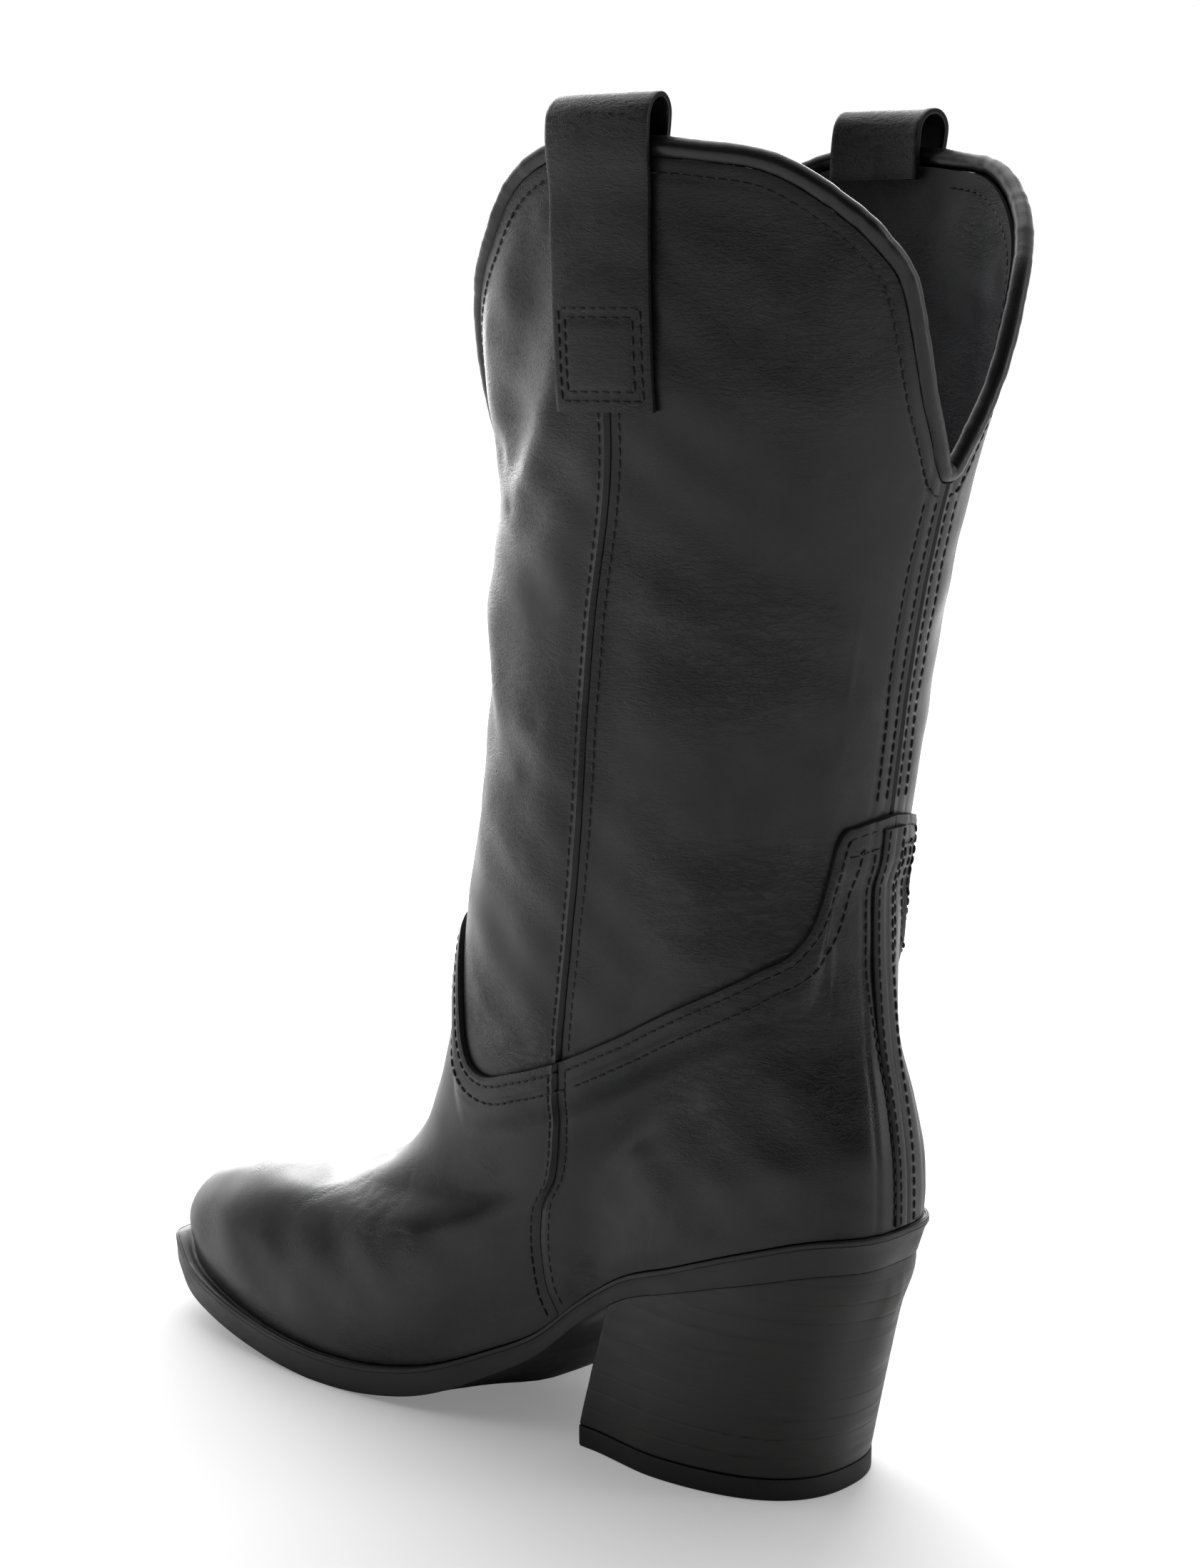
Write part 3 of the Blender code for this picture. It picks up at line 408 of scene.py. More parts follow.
def bottom_turns():
    """Stations along the bottom: those of the upper's lower edge, and one at each end."""
    front = FRONT_TURNS[(FRONT_TURNS > SIDE) & (FRONT_TURNS < 180)]
    stations = (back_turn(BACK_TURNS[1:], 0.0), front_turn(front, 0.0), (1.0, 177.0))
    return np.sort(np.concatenate(stations))


HEEL_LEAN = 0.92           # how the heel's slant eases off towards the ground
HEEL_RUN = np.array((0, 0.10, 0.22, 0.36, 0.50, 0.63, 0.74, 0.83, 0.90, 0.95, 0.985, 0.997))


def heel_ground_outline(inset):
    """Left and right points of the heel's outline at the ground, breast to back."""
    y = BREAST_Y_GROUND + (HEEL_BACK_GROUND - BREAST_Y_GROUND) * HEEL_RUN
    full = 0.84 + 0.16 * smoothstep(0, 0.45, HEEL_RUN)
    half = (HEEL_HALF_WIDTH - inset) * full * (1 - HEEL_RUN ** 4.2) ** (1 / 2.3)
    return y, -half, half


def heel_seat_outline():
    """The same where the block meets the rand, just inside the rand's lower edge."""
    back = OUTSOLE_LEDGE_HEEL - OUTSOLE_TAPER - REAR_TAPER - 0.2 * MM
    y = BREAST_Y + (back - BREAST_Y) * HEEL_RUN
    turns = bottom_turns()
    reach = (ledge_at(turns) - rand_taper(turns) - 0.2 * MM)[:, None]
    sides = []
    for sign in (-1, 1):
        points, out = outline_frame(sign * turns)
        edge = points + out * reach
        sides.append(np.interp(-y, -edge[:, 1], edge[:, 0]))
    return y, *sides


def heel_section(share, inset=0.0):
    """The block's outline part of the way down from the seat to the ground."""
    lean = share ** HEEL_LEAN
    return [seat + (ground - seat) * lean
            for seat, ground in zip(heel_seat_outline(), heel_ground_outline(inset))]


# ---------------------------------------------------------------- place in the frame
lift_low, lift_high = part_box("heel_top_lift")
SHIFT = np.array(((lift_low.x + lift_high.x) / 2, lift_low.y - BREAST_Y_GROUND, lift_low.z))


def gauss(value, width):
    return np.exp(-(value / width) ** 2)


# ------------------------------------------------------------- distances on the form
def speed(turn, level):
    """Metres of leather for one degree of turn."""
    return np.linalg.norm(form(turn + 0.5, level) - form(turn - 0.5, level), axis=-1)


def rise(turn, level):
    """Metres of leather for one unit of level."""
    low = np.clip(level - 0.004, 0, 1)
    high = np.clip(level + 0.004, 0, 1)
    span = np.maximum(high - low, 1e-6)
    return np.linalg.norm(form(turn, high) - form(turn, low), axis=-1) / span


def below_line(line, turn, level, pace, climb):
    """Distance below a line round the boot, square to the line."""
    turn = folded(turn)
    slope = (line(turn + 0.4) - line(turn - 0.4)) / 0.8
    return (line(turn) - level) * climb / np.sqrt(1 + (slope * climb / pace) ** 2)


def beside(turn, level, distance, steps=4):
    """Moves a run of points sideways along the form, downwards where distance is positive."""
    turn = np.array(turn, float)
    level = np.array(level, float)
    for _ in range(steps):
        along = unit(np.gradient(form(turn, level), axis=0))
        side = np.cross(along, normal(turn, level))
        side *= np.where(side[:, 2:] > 0, -1, 1)
        a = (form(turn + 0.2, level) - form(turn - 0.2, level)) / 0.4
        above, under = (form(turn, np.clip(level + step, 0, 1)) for step in (0.002, -0.002))
        b = (above - under) / 0.004
        aa, bb, ab = (a * a).sum(1), (b * b).sum(1), (a * b).sum(1)
        want = side * (distance / steps)
        wa, wb = (want * a).sum(1), (want * b).sum(1)
        det = aa * bb - ab * ab
        turn = turn + (wa * bb - wb * ab) / det
        level = level + (wb * aa - wa * ab) / det
    return turn, level


# ------------------------------------------------------------------------ soft relief
def waves(points, size, count, seed):
    """Smooth rolling noise between about -1 and 1, of a given wavelength in metres."""
    r = np.random.default_rng(seed)
    total = np.zeros(points.shape[:-1])
    for _ in range(count):
        way = unit(r.normal(size=3))
        length = size * r.uniform(0.7, 1.5)
        total += np.sin(points @ way * (2 * math.pi / length) + r.uniform(0, 6.3))
    return total / math.sqrt(count / 2)


# Folds as runs of (turn, level) points: width in metres, height in metres.
FOLDS = (
    (((95, 0.905), (99, 0.857), (107, 0.817), (117, 0.786), (128, 0.768)), 0.0065, 0.0016),
    (((104, 0.93), (110, 0.88), (120, 0.83), (130, 0.80)), 0.0080, -0.0014),
    (((128, 0.93), (133, 0.88), (136, 0.80)), 0.0080, 0.0009),
    (((150, 0.74), (143, 0.700), (128, 0.655), (108, 0.635)), 0.0070, 0.0012),
    (((148, 0.69), (135, 0.630), (116, 0.60)), 0.0070, -0.0009),
    (((138, 0.59), (128, 0.571), (112, 0.545)), 0.0060, 0.0006),
    (((132, 0.46), (118, 0.425), (104, 0.405)), 0.0050, 0.0007),
    (((128, 0.44), (112, 0.412)), 0.0035, -0.0006),
    (((82, 0.72), (68, 0.705), (54, 0.690)), 0.0060, 0.0007),
    (((80, 0.68), (64, 0.670), (48, 0.672)), 0.0070, -0.0006),
    (((60, 0.90), (48, 0.885), (38, 0.892)), 0.0070, 0.0008),
    (((56, 0.865), (44, 0.85), (34, 0.87)), 0.0060, -0.0006),
    (((66, 0.51), (50, 0.495), (34, 0.480)), 0.0060, 0.0008),
    (((62, 0.48), (46, 0.465), (32, 0.45)), 0.0060, -0.0006),
    (((52, 0.355), (40, 0.345), (26, 0.335)), 0.0060, 0.0009),
    (((50, 0.31), (38, 0.30), (26, 0.285)), 0.0060, -0.0009),
    (((58, 0.255), (44, 0.245), (30, 0.235)), 0.0060, 0.0007),
    (((-150, 0.74), (-138, 0.690), (-118, 0.650), (-100, 0.64)), 0.0075, 0.0011),
    (((-128, 0.92), (-118, 0.84), (-104, 0.80)), 0.0080, 0.0010),
    (((-80, 0.71), (-60, 0.695), (-46, 0.700)), 0.0070, -0.0007),
    (((-62, 0.52), (-48, 0.50), (-32, 0.49)), 0.0065, 0.0008),
    (((-52, 0.34), (-38, 0.33), (-26, 0.32)), 0.0060, 0.0008),
    (((-138, 0.47), (-118, 0.43), (-102, 0.41)), 0.0050, 0.0007),
)


def flex_lines(sign, seed, count):
    """Flex lines across the vamp, over the joints of the toes: fine, short and uneven."""
    r = np.random.default_rng(seed)
    made = []
    for k in range(count):
        start = 101 + 40 * (k + 0.5) / count + r.uniform(-2, 2)
        level = 0.105 + 0.075 * r.uniform() + 0.0016 * (start - 101)
        length = r.uniform(8, 17)
        climb = r.uniform(0.035, 0.075)
        run = tuple((sign * (start + length * t),
                     level + climb * t ** 0.8 + 0.004 * math.sin(5 * t))
                    for t in (0, 0.33, 0.66, 1))
        made.append((run, 0.0011 + 0.0006 * r.uniform(), -r.uniform(0.00010, 0.00020)))
    return tuple(made)


FLEX = flex_lines(1, 11, 15) + flex_lines(-1, 12, 12)


def run_distance(points, run):
    """Least distance in metres from each point to a run of points on the form."""
    turn, level = np.array(run, float).T
    s = np.linspace(0, len(turn) - 1, 26)
    line = form(np.interp(s, np.arange(len(turn)), turn), np.interp(s, np.arange(len(turn)), level))
    best = np.full(points.shape[:-1], 1e9)
    for a, b in zip(line[:-1], line[1:]):
        ab = b - a
        u = np.clip(((points - a) @ ab) / (ab @ ab), 0, 1)
        best = np.minimum(best, np.linalg.norm(points - (a + u[..., None] * ab), axis=-1))
    ends = np.minimum(np.linalg.norm(points - line[0], axis=-1),
                      np.linalg.norm(points - line[-1], axis=-1))
    return best, ends


BROAD_ROLL = 0.42 * MM     # height of the leather's broad rolls, and of its small ones
SMALL_ROLL = 0.16 * MM
FULL_CREASE = 0.6 * MM     # a fold of this height or more is creased fully


def soft_relief(turn, level, points):
    """Folds and rolls of the leather: how far it stands off the form."""
    height = BROAD_ROLL * waves(points, 0.055, 7, 3) + SMALL_ROLL * waves(points, 0.021, 9, 5)
    crease = np.zeros_like(height)
    signed = np.where(turn > 180, turn - 360, turn)
    for run, width, up in FOLDS + FLEX:
        side = np.array(run)[:, 0].mean()
        if side > 0 and signed.max() < -1 or side < 0 and signed.min() > 1 and turn.max() <= 180:
            continue
        distance, ends = run_distance(points, run)
        fade = smoothstep(0, 2.2 * width, ends + width * 0.6)
        height += up * gauss(distance, width) * fade
        depth = min(1, abs(up) / FULL_CREASE)
        crease = np.maximum(crease, gauss(distance, width * 2.2) * fade * depth)
    return height, crease


# Distances of the stitch rows from the seam or edge beside them.
SIDE_ROW = 3.3 * MM
BACK_ROWS = (2.7 * MM, 7.2 * MM)
COLLAR_ROW = 3.6 * MM
LAP_ROWS = (2.6 * MM, 7.6 * MM)
STITCH_DIP = 0.20 * MM
STITCH_DIP_WIDTH = 0.55 * MM
STITCH_PUFF = 0.10 * MM


def row_dips(distance, rows):
    """Channels pulled in along stitch rows, and the puff of leather between them."""
    dip = np.zeros_like(distance)
    for row in rows:
        dip -= STITCH_DIP * gauss(distance - row, STITCH_DIP_WIDTH)
        dip += STITCH_PUFF * gauss(distance - row + 1.6 * MM, 1.0 * MM)
    return dip


VAMP_CALM = 0.6            # the lasted vamp rolls less than the free shaft
SEAM_PINCH = 0.75 * MM     # how far the side seams are pulled in
BACK_PINCH = 0.7 * MM      # and the back seam


def leather_relief(kind, turn, level):
    """Relief and creasing of one outer piece over its grid of turns and levels."""
    points = form(turn, level)
    pace = speed(turn, level)
    climb = rise(turn, level)
    height, crease = soft_relief(turn, level, points)
    collar = below_line(collar_line, turn, level, pace, climb)
    seam = (folded(turn) - side_seam_at(level)) * pace
    back = folded(turn) * pace
    if kind.startswith("shaft"):
        lap = vamp_line if kind == "shaft_front" else counter_line
        above = -below_line(lap, turn, level, pace, climb)
        height *= smoothstep(0, 14 * MM, collar) * smoothstep(-2 * MM, 12 * MM, above)
        height += row_dips(collar, (COLLAR_ROW,))
    else:                  # vamp and counters: a turned edge with two rows below it
        lap = vamp_line if kind == "vamp" else counter_line
        down = below_line(lap, turn, level, pace, climb)
        height *= smoothstep(2 * MM, 20 * MM, down) * smoothstep(0, 0.05, level)
        if kind == "vamp":
            height *= VAMP_CALM
        height += row_dips(down, LAP_ROWS) + 0.12 * MM * gauss(down - 5.1 * MM, 1.6 * MM)
        height += -0.35 * MM * gauss(down, 0.8 * MM)
    height *= smoothstep(0, 7 * MM, np.abs(seam)) * 0.75 + 0.25
    height += row_dips(np.abs(seam), (SIDE_ROW,)) - SEAM_PINCH * gauss(seam, 0.55 * MM)
    height += 0.22 * MM * gauss(np.abs(seam) - 1.2 * MM, 0.8 * MM)
    if kind != "vamp" and kind != "shaft_front":
        height *= smoothstep(0, 10 * MM, back) * 0.7 + 0.3
        rows = BACK_ROWS if kind.startswith("shaft") else BACK_ROWS[1:]
        height += row_dips(back, rows)
        if kind.startswith("shaft"):
            height -= BACK_PINCH * gauss(back, 0.5 * MM)
    return height, crease


# ------------------------------------------------------------------------ mesh tools
def link(name, data):
    made = bpy.data.objects.new(name, data)
    bpy.context.collection.objects.link(made)
    return made


def make(name, points, faces, materials, face_mats=None, crease=None, smooth=35):
    """One closed piece; smooth is the angle in degrees above which an edge stays sharp."""
    points = np.asarray(points, float).reshape(-1, 3) + SHIFT
    mesh = bpy.data.meshes.new(name)
    mesh.from_pydata(points.tolist(), [], [tuple(int(i) for i in f) for f in faces])
    for mat in materials:
        mesh.materials.append(mat)
    if face_mats is not None:
        mesh.polygons.foreach_set("material_index", np.asarray(face_mats, np.int32))
    if crease is not None:
        layer = mesh.attributes.new("crease", "FLOAT", "POINT")
        layer.data.foreach_set("value", np.asarray(crease, np.float32).ravel())
    shape = bmesh.new()
    shape.from_mesh(mesh)
    bmesh.ops.recalc_face_normals(shape, faces=shape.faces)
    shape.to_mesh(mesh)
    shape.free()
    mesh.shade_smooth()
    mesh.set_sharp_from_angle(angle=math.radians(smooth))
    piece = link(name, mesh)
    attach(piece, "root")
    return piece


def grid_faces(rows, columns, start=0, ring=False):
    """Quads of a grid of points, whose rows close into rings if ring is set."""
    spans = columns if ring else columns - 1
    r, c = np.meshgrid(np.arange(rows - 1), np.arange(spans), indexing="ij")
    a = start + r * columns + c
    b = start + r * columns + (c + 1) % columns
    return np.stack((a, b, b + columns, a + columns), -1).reshape(-1, 4)


def shell(name, outer, inner, crease, materials=None, inner_crease=None):
    """A sheet with thickness: two grids joined round its cut edge."""
    rows, columns = outer.shape[:2]
    count = rows * columns
    top = np.arange(columns)
    right = np.arange(1, rows) * columns + columns - 1
    bottom = (rows - 1) * columns + np.arange(columns - 2, -1, -1)
    left = np.arange(rows - 2, 0, -1) * columns
    loop = np.concatenate((top, right, bottom, left))
    flat_out = outer.reshape(-1, 3)
    flat_in = inner.reshape(-1, 3)
    depth = flat_in[loop] - flat_out[loop]
    between = [flat_out[loop] + depth * share for share in (0.18, 0.5, 0.82)]
    chain = [loop] + [2 * count + k * len(loop) + np.arange(len(loop)) for k in range(3)]
    chain.append(loop + count)
    body = np.concatenate([grid_faces(rows, columns, first) for first in (0, count)])
    rim = np.concatenate([np.stack((a, b, np.roll(b, -1), np.roll(a, -1)), -1)
                          for a, b in zip(chain[:-1], chain[1:])])
    points = np.concatenate([flat_out, flat_in] + between)
    worked = np.zeros(len(points))
    worked[:count] = np.broadcast_to(crease, (rows, columns)).ravel()
    if inner_crease is not None:
        worked[count:2 * count] = inner_crease.ravel()
    mats = np.concatenate((np.zeros(len(body)), np.ones(len(rim))))
    return make(name, points, np.concatenate((body, rim)), materials or (upper_mat, cut_mat),
                mats, worked)


def sweep(name, centre, out, up, radius, sides, material):
    """A round cord along a closed line, with its own two directions at each point."""
    count = len(centre)
    turns = np.linspace(0, 2 * math.pi, sides, endpoint=False)[None, :, None]
    points = centre[:, None] + radius[..., None] * (np.cos(turns) * out[:, None]
                                                    + np.sin(turns) * up[:, None])
    i, k = np.meshgrid(np.arange(count), np.arange(sides), indexing="ij")
    j, m = (i + 1) % count, (k + 1) % sides
    faces = (i * sides + k, j * sides + k, j * sides + m, i * sides + m)
    return make(name, points, np.stack(faces, -1).reshape(-1, 4), (material,))


# ------------------------------------------------------------------------- stitching
STITCHES = []
STITCH_LENGTH = 2.5 * MM
STITCH_PITCH = 3.1 * MM
STITCH_ARCH = 0.10 * MM    # the middle of a stitch stands that much prouder than its ends
STITCH_DIVE = 0.22 * MM    # and its tips dive that far
THREAD = 0.30 * MM         # half the thread's width


def sew(line, out):
    """Lays single stitches along a line of points with outward directions."""
    run = run_along(line)
    count = int(run[-1] / STITCH_PITCH)
    for s in (np.arange(count) + 0.5) * (run[-1] / max(count, 1)):
        ends = [np.array([np.interp(s + d, run, line[:, c]) for c in range(3)])
                for d in (-STITCH_LENGTH / 2, 0, STITCH_LENGTH / 2)]
        face = unit(np.array([np.interp(s, run, out[:, c]) for c in range(3)]))
        STITCHES.append((ends[0], ends[1] + face * STITCH_ARCH, ends[2], face))


def make_stitches(name, material):
    """Every stitch as a small rounded capsule that dips into the leather at its ends."""
    sides = 6
    rings = ((-0.96, 0.55), (-0.8, 0.92), (-0.35, 1.0), (0.35, 1.0), (0.8, 0.92), (0.96, 0.55))
    first, middle, last, face = (np.array(part) for part in zip(*STITCHES))
    half = np.linalg.norm(last - first, axis=1, keepdims=True) / 2
    along = (last - first) / (2 * half)
    aside = unit(np.cross(face, along))
    face = np.cross(along, aside)

    def centre(t):
        return (middle + along * half * t - face * (STITCH_DIVE * t * t))[:, None]

    w = np.linspace(0, 2 * math.pi, sides, endpoint=False)[None, :, None]
    blocks = [centre(-1.0)]
    for t, r in rings:
        blocks.append(centre(t) + THREAD * r * (np.cos(w) * aside[:, None]
                                                + np.sin(w) * face[:, None]))
    points = np.concatenate(blocks + [centre(1.0)], axis=1)
    per = points.shape[1]
    tail = 1 + (len(rings) - 1) * sides
    faces = [tuple(f) for f in grid_faces(len(rings), sides, 1, True)]
    for k in range(sides):
        m = (k + 1) % sides
        faces += [(0, 1 + m, 1 + k), (per - 1, tail + k, tail + m)]
    every = [tuple(i * per + v for v in f) for i in range(len(points)) for f in faces]
    return make(name, points, every, (material,))


# ------------------------------------------------------------------------- materials
def node(tree, kind, inputs):
    """Adds a shader node; each input is a value or a link from another node's output."""
    made = tree.nodes.new("ShaderNode" + kind)
    for key, value in inputs.items():
        if isinstance(value, bpy.types.NodeSocket):
            tree.links.new(value, made.inputs[key])
        else:
            made.inputs[key].default_value = value
    return made


def ramp(tree, source, low, high, low_value, high_value):
    """Maps a factor from one range to another."""
    made = node(tree, "MapRange", {"Value": source, "From Min": low, "From Max": high,
                                   "To Min": low_value, "To Max": high_value})
    made.interpolation_type = "SMOOTHSTEP"
    return made.outputs["Result"]


def math_node(tree, operation, a, b):
    made = node(tree, "Math", {0: a, 1: b})
    made.operation = operation
    return made.outputs[0]


def mix_colour(tree, factor, a, b):
    made = tree.nodes.new("ShaderNodeMix")
    made.data_type = "RGBA"
    tree.links.new(factor, made.inputs["Factor"])
    made.inputs[6].default_value = (*a, 1)
    made.inputs[7].default_value = (*b, 1)
    return made.outputs[2]


def noise(tree, coords, scale, detail=3.0, rough=0.55, distortion=0.0, stretch=(1, 1, 1)):
    place = node(tree, "Mapping", {"Vector": coords, "Scale": stretch}).outputs["Vector"]
    made = node(tree, "TexNoise", {"Vector": place, "Scale": scale, "Detail": detail,
                                   "Roughness": rough, "Distortion": distortion})
    return made.outputs["Fac"]


def ridges(tree, source, width):
    """Fine lines along the middle value of a noise."""
    off = math_node(tree, "ABSOLUTE", math_node(tree, "SUBTRACT", source, 0.5), 0.0)
    return ramp(tree, off, 0.0, width, 0.0, 1.0)


def bump(tree, height, strength, distance, under=None):
    inputs = {"Height": height, "Strength": strength, "Distance": distance}
    if under is not None:
        inputs["Normal"] = under
    return node(tree, "Bump", inputs).outputs["Normal"]


def start(name, colour, roughness, specular=0.5):
    mat = bpy.data.materials.new(name)
    mat.use_nodes = True
    tree = mat.node_tree
    shader = tree.nodes["Principled BSDF"]
    shader.inputs["Base Color"].default_value = (*colour, 1)
    shader.inputs["Roughness"].default_value = roughness
    shader.inputs["Specular IOR Level"].default_value = specular
    mat.diffuse_color = (*colour, 1)
    coords = tree.nodes.new("ShaderNodeTexCoord").outputs["Object"]
    return mat, tree, shader, coords


PEBBLE_SCALE = 1150.0      # pebbles of the grain in a metre
PEBBLE_JITTER = 0.9 * MM


def leather_material(name, dark, worn, smooth, rough, grain=0.32, lines=0.5, specular=0.5):
    """Smooth full-grain leather: fine pebbles, fine creases where it is worked, cloudy sheen."""
    mat, tree, shader, coords = start(name, dark, (smooth + rough) / 2, specular)
    crease = tree.nodes.new("ShaderNodeAttribute")
    crease.attribute_name = "crease"
    worked = crease.outputs["Fac"]
    cloud = noise(tree, coords, 32.0, 4.0, 0.6)
    patch = noise(tree, coords, 95.0, 3.0, 0.6)
    jitter = node(tree, "TexNoise", {"Vector": coords, "Scale": 700.0}).outputs["Color"]
    small = node(tree, "VectorMath", {0: jitter})
    small.operation = "SCALE"
    small.inputs["Scale"].default_value = PEBBLE_JITTER
    warped = node(tree, "VectorMath", {0: coords, 1: small.outputs["Vector"]})
    cells = node(tree, "TexVoronoi", {"Vector": warped.outputs["Vector"],
                                      "Scale": PEBBLE_SCALE})
    cells.feature = "DISTANCE_TO_EDGE"
    pebbles = ramp(tree, cells.outputs["Distance"], 0.0, 0.22, 0.0, 1.0)
    amount = math_node(tree, "ADD", ramp(tree, patch, 0.35, 0.7, 0.35, 1.0), worked)
    zone = math_node(tree, "ADD", worked, ramp(tree, cloud, 0.52, 0.72, 0.0, 0.45))
    wrinkle = ridges(tree, noise(tree, coords, 150.0, 5.0, 0.62, 0.6, (1.0, 1.0, 3.4)), 0.09)
    fine = ridges(tree, noise(tree, coords, 420.0, 4.0, 0.6, 0.8, (1.5, 1.5, 2.6)), 0.08)
    under = None
    for height, share, strength, distance in ((wrinkle, zone, lines, 0.22 * MM),
                                              (fine, zone, lines * 0.8, 0.10 * MM),
                                              (pebbles, amount, grain, 0.06 * MM)):
        under = bump(tree, math_node(tree, "MULTIPLY", height, share), strength, distance, under)
    tree.links.new(under, shader.inputs["Normal"])
    tree.links.new(mix_colour(tree, ramp(tree, patch, 0.4, 0.75, 0.0, 1.0), dark, worn),
                   shader.inputs["Base Color"])
    sheen = math_node(tree, "ADD", ramp(tree, cloud, 0.3, 0.7, smooth, rough),
                      math_node(tree, "MULTIPLY", pebbles, -0.03))
    tree.links.new(sheen, shader.inputs["Roughness"])
    return mat


def plain_material(name, dark, light, low, high, scale, bump_scale, strength, distance,
                   stretch=(1, 1, 1), specular=0.5, metallic=0.0):
    """A surface with cloudy colour and gloss, and a fine rough texture."""
    mat, tree, shader, coords = start(name, dark, (low + high) / 2, specular)
    shader.inputs["Metallic"].default_value = metallic
    cloud = noise(tree, coords, scale, 4.0, 0.6, 0.0, stretch)
    tree.links.new(mix_colour(tree, ramp(tree, cloud, 0.35, 0.7, 0.0, 1.0), dark, light),
                   shader.inputs["Base Color"])
    tree.links.new(ramp(tree, cloud, 0.3, 0.7, low, high), shader.inputs["Roughness"])
    height = noise(tree, coords, bump_scale, 5.0, 0.65, 0.0, stretch)
    tree.links.new(bump(tree, height, strength, distance), shader.inputs["Normal"])
    return mat


upper_mat = leather_material("satin_black_leather", (0.0075, 0.0075, 0.0082),
                             (0.013, 0.013, 0.014), 0.30, 0.42, specular=0.42)
piping_mat = leather_material("rolled_black_leather", (0.0070, 0.0070, 0.0078),
                              (0.011, 0.011, 0.012), 0.30, 0.40, 0.35, 0.4)
lining_mat = leather_material("navy_black_lining", (0.0085, 0.0090, 0.0125),
                              (0.017, 0.018, 0.024), 0.42, 0.58, 0.4, 0.7, 0.4)
cut_mat = plain_material("raw_cut_edge", (0.012, 0.012, 0.012), (0.030, 0.028, 0.027), 0.7, 0.95,
                         600.0, 2600.0, 0.9, 0.00025, specular=0.25)
thread_mat = plain_material("black_thread", (0.010, 0.010, 0.011), (0.022, 0.022, 0.023), 0.45,
                            0.6, 900.0, 5200.0, 0.5, 0.0001, (1, 1, 1), 0.4)
sole_mat = plain_material("moulded_black_rubber", (0.016, 0.016, 0.0165), (0.024, 0.024, 0.025),
                          0.40, 0.60, 60.0, 1500.0, 0.25, 0.00008, (1, 1, 2.5), 0.45)
heel_mat = plain_material("stacked_black_heel", (0.015, 0.0145, 0.014), (0.024, 0.023, 0.022),
                          0.38, 0.55, 45.0, 900.0, 0.22, 0.00012, (1, 1, 7), 0.45)
lift_mat = plain_material("tread_rubber", (0.014, 0.014, 0.014), (0.022, 0.022, 0.022), 0.55,
                          0.75, 90.0, 1200.0, 0.35, 0.00012, (1, 1, 1), 0.4)
board_mat = plain_material("pressed_fibre", (0.26, 0.20, 0.13), (0.36, 0.29, 0.20), 0.8, 0.95,
                           300.0, 1600.0, 0.5, 0.0002)
insole_mat = plain_material("insole_fibre", (0.24, 0.16, 0.10), (0.33, 0.23, 0.15), 0.8, 0.95,
                            260.0, 1500.0, 0.5, 0.0002)
cork_mat = plain_material("pressed_cork", (0.30, 0.18, 0.09), (0.46, 0.29, 0.16), 0.85, 0.98,
                          420.0, 900.0, 0.6, 0.0003)
tape_mat = plain_material("woven_tape", (0.022, 0.022, 0.022), (0.035, 0.035, 0.035), 0.8, 0.95,
                          900.0, 2200.0, 0.6, 0.0001, (1, 1, 4))
steel_mat = plain_material("spring_steel", (0.40, 0.40, 0.41), (0.56, 0.56, 0.57), 0.28, 0.42,
                           200.0, 900.0, 0.2, 0.00005, (1, 8, 1), 0.5, 1.0)

# ------------------------------------------------------------------ leather pieces
def stations_between(nominal, spacing):
    """Nominal stations packed evenly between the first and last."""
    pace = float(speed(90, 0.6))
    count = int(abs(nominal[-1] - nominal[0]) * pace / spacing) + 1
    return np.linspace(nominal[0], nominal[-1], count + 1)


def sheet_grid(stations, low, high, rows, place):
    levels = np.array([low(stations) + (high(stations) - low(stations)) * s
                       for s in np.linspace(0, 1, rows)])
    turns = np.array([place(stations, v) for v in levels])
    return turns, levels


PROUD = 0.14 * MM          # the middle line of the thread above the leather
SEAM_TRIM = 0.12 * MM      # each piece is cut that much short of its upright seams


def leather_piece(kind, stations, low, high, rows, place, offset):
    """One outer piece, between two lines round the form, standing off it by offset."""
    turns, levels = sheet_grid(stations, low, high, rows, place)
    height, crease = leather_relief(kind, turns, levels)
    stand = offset(turns, levels)
    outer = skin(turns, levels, stand + height)
    inner = skin(turns, levels, stand + height * 0.8 - LEATHER)
    for column, way in ((0, 1), (-1, -1)):
        shift = round_way(turns[:, column], levels[:, column]) * way * SEAM_TRIM
        outer[:, column] += shift
        inner[:, column] += shift
    if float(levels.min()) == 0.0:
        base = form(turns[0], np.zeros_like(turns[0]))[:, 2]
        outer[0, :, 2] = base
        inner[0, :, 2] = base
    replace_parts(shell(kind, outer, inner, crease), kind)


def flush(turns, levels):
    return np.zeros(turns.shape)


FRONT = stations_between((SIDE, 360 - SIDE), 1.25 * MM)
BACK_IN = stations_between((0, SIDE), 1.25 * MM)
BACK_OUT = -BACK_IN[::-1]
zero = level_row(0)
leather_piece("vamp", FRONT, zero, vamp_edge, 170, front_turn, raised_over(vamp_line))
leather_piece("shaft_front", FRONT, below(vamp_edge, LAP), front_collar, 190, front_turn,
              flush)
for side, stations in (("inner", BACK_IN), ("outer", BACK_OUT)):
    leather_piece("counter_" + side, stations, zero, counter_edge, 110, back_turn,
                  raised_over(counter_line))
    leather_piece("shaft_back_" + side, stations, below(counter_edge, LAP), back_collar, 190,
                  back_turn, flush)


def surface(kind, turn, level):
    """Points just proud of the face of a leather piece, and outward directions."""
    height, _ = leather_relief(kind, turn, level)
    stand = height + PROUD
    if kind == "vamp":
        stand = stand + raised_over(vamp_line)(turn, level)
    if kind.startswith("counter"):
        stand = stand + raised_over(counter_line)(turn, level)
    return skin(turn, level, stand), normal(turn, level)


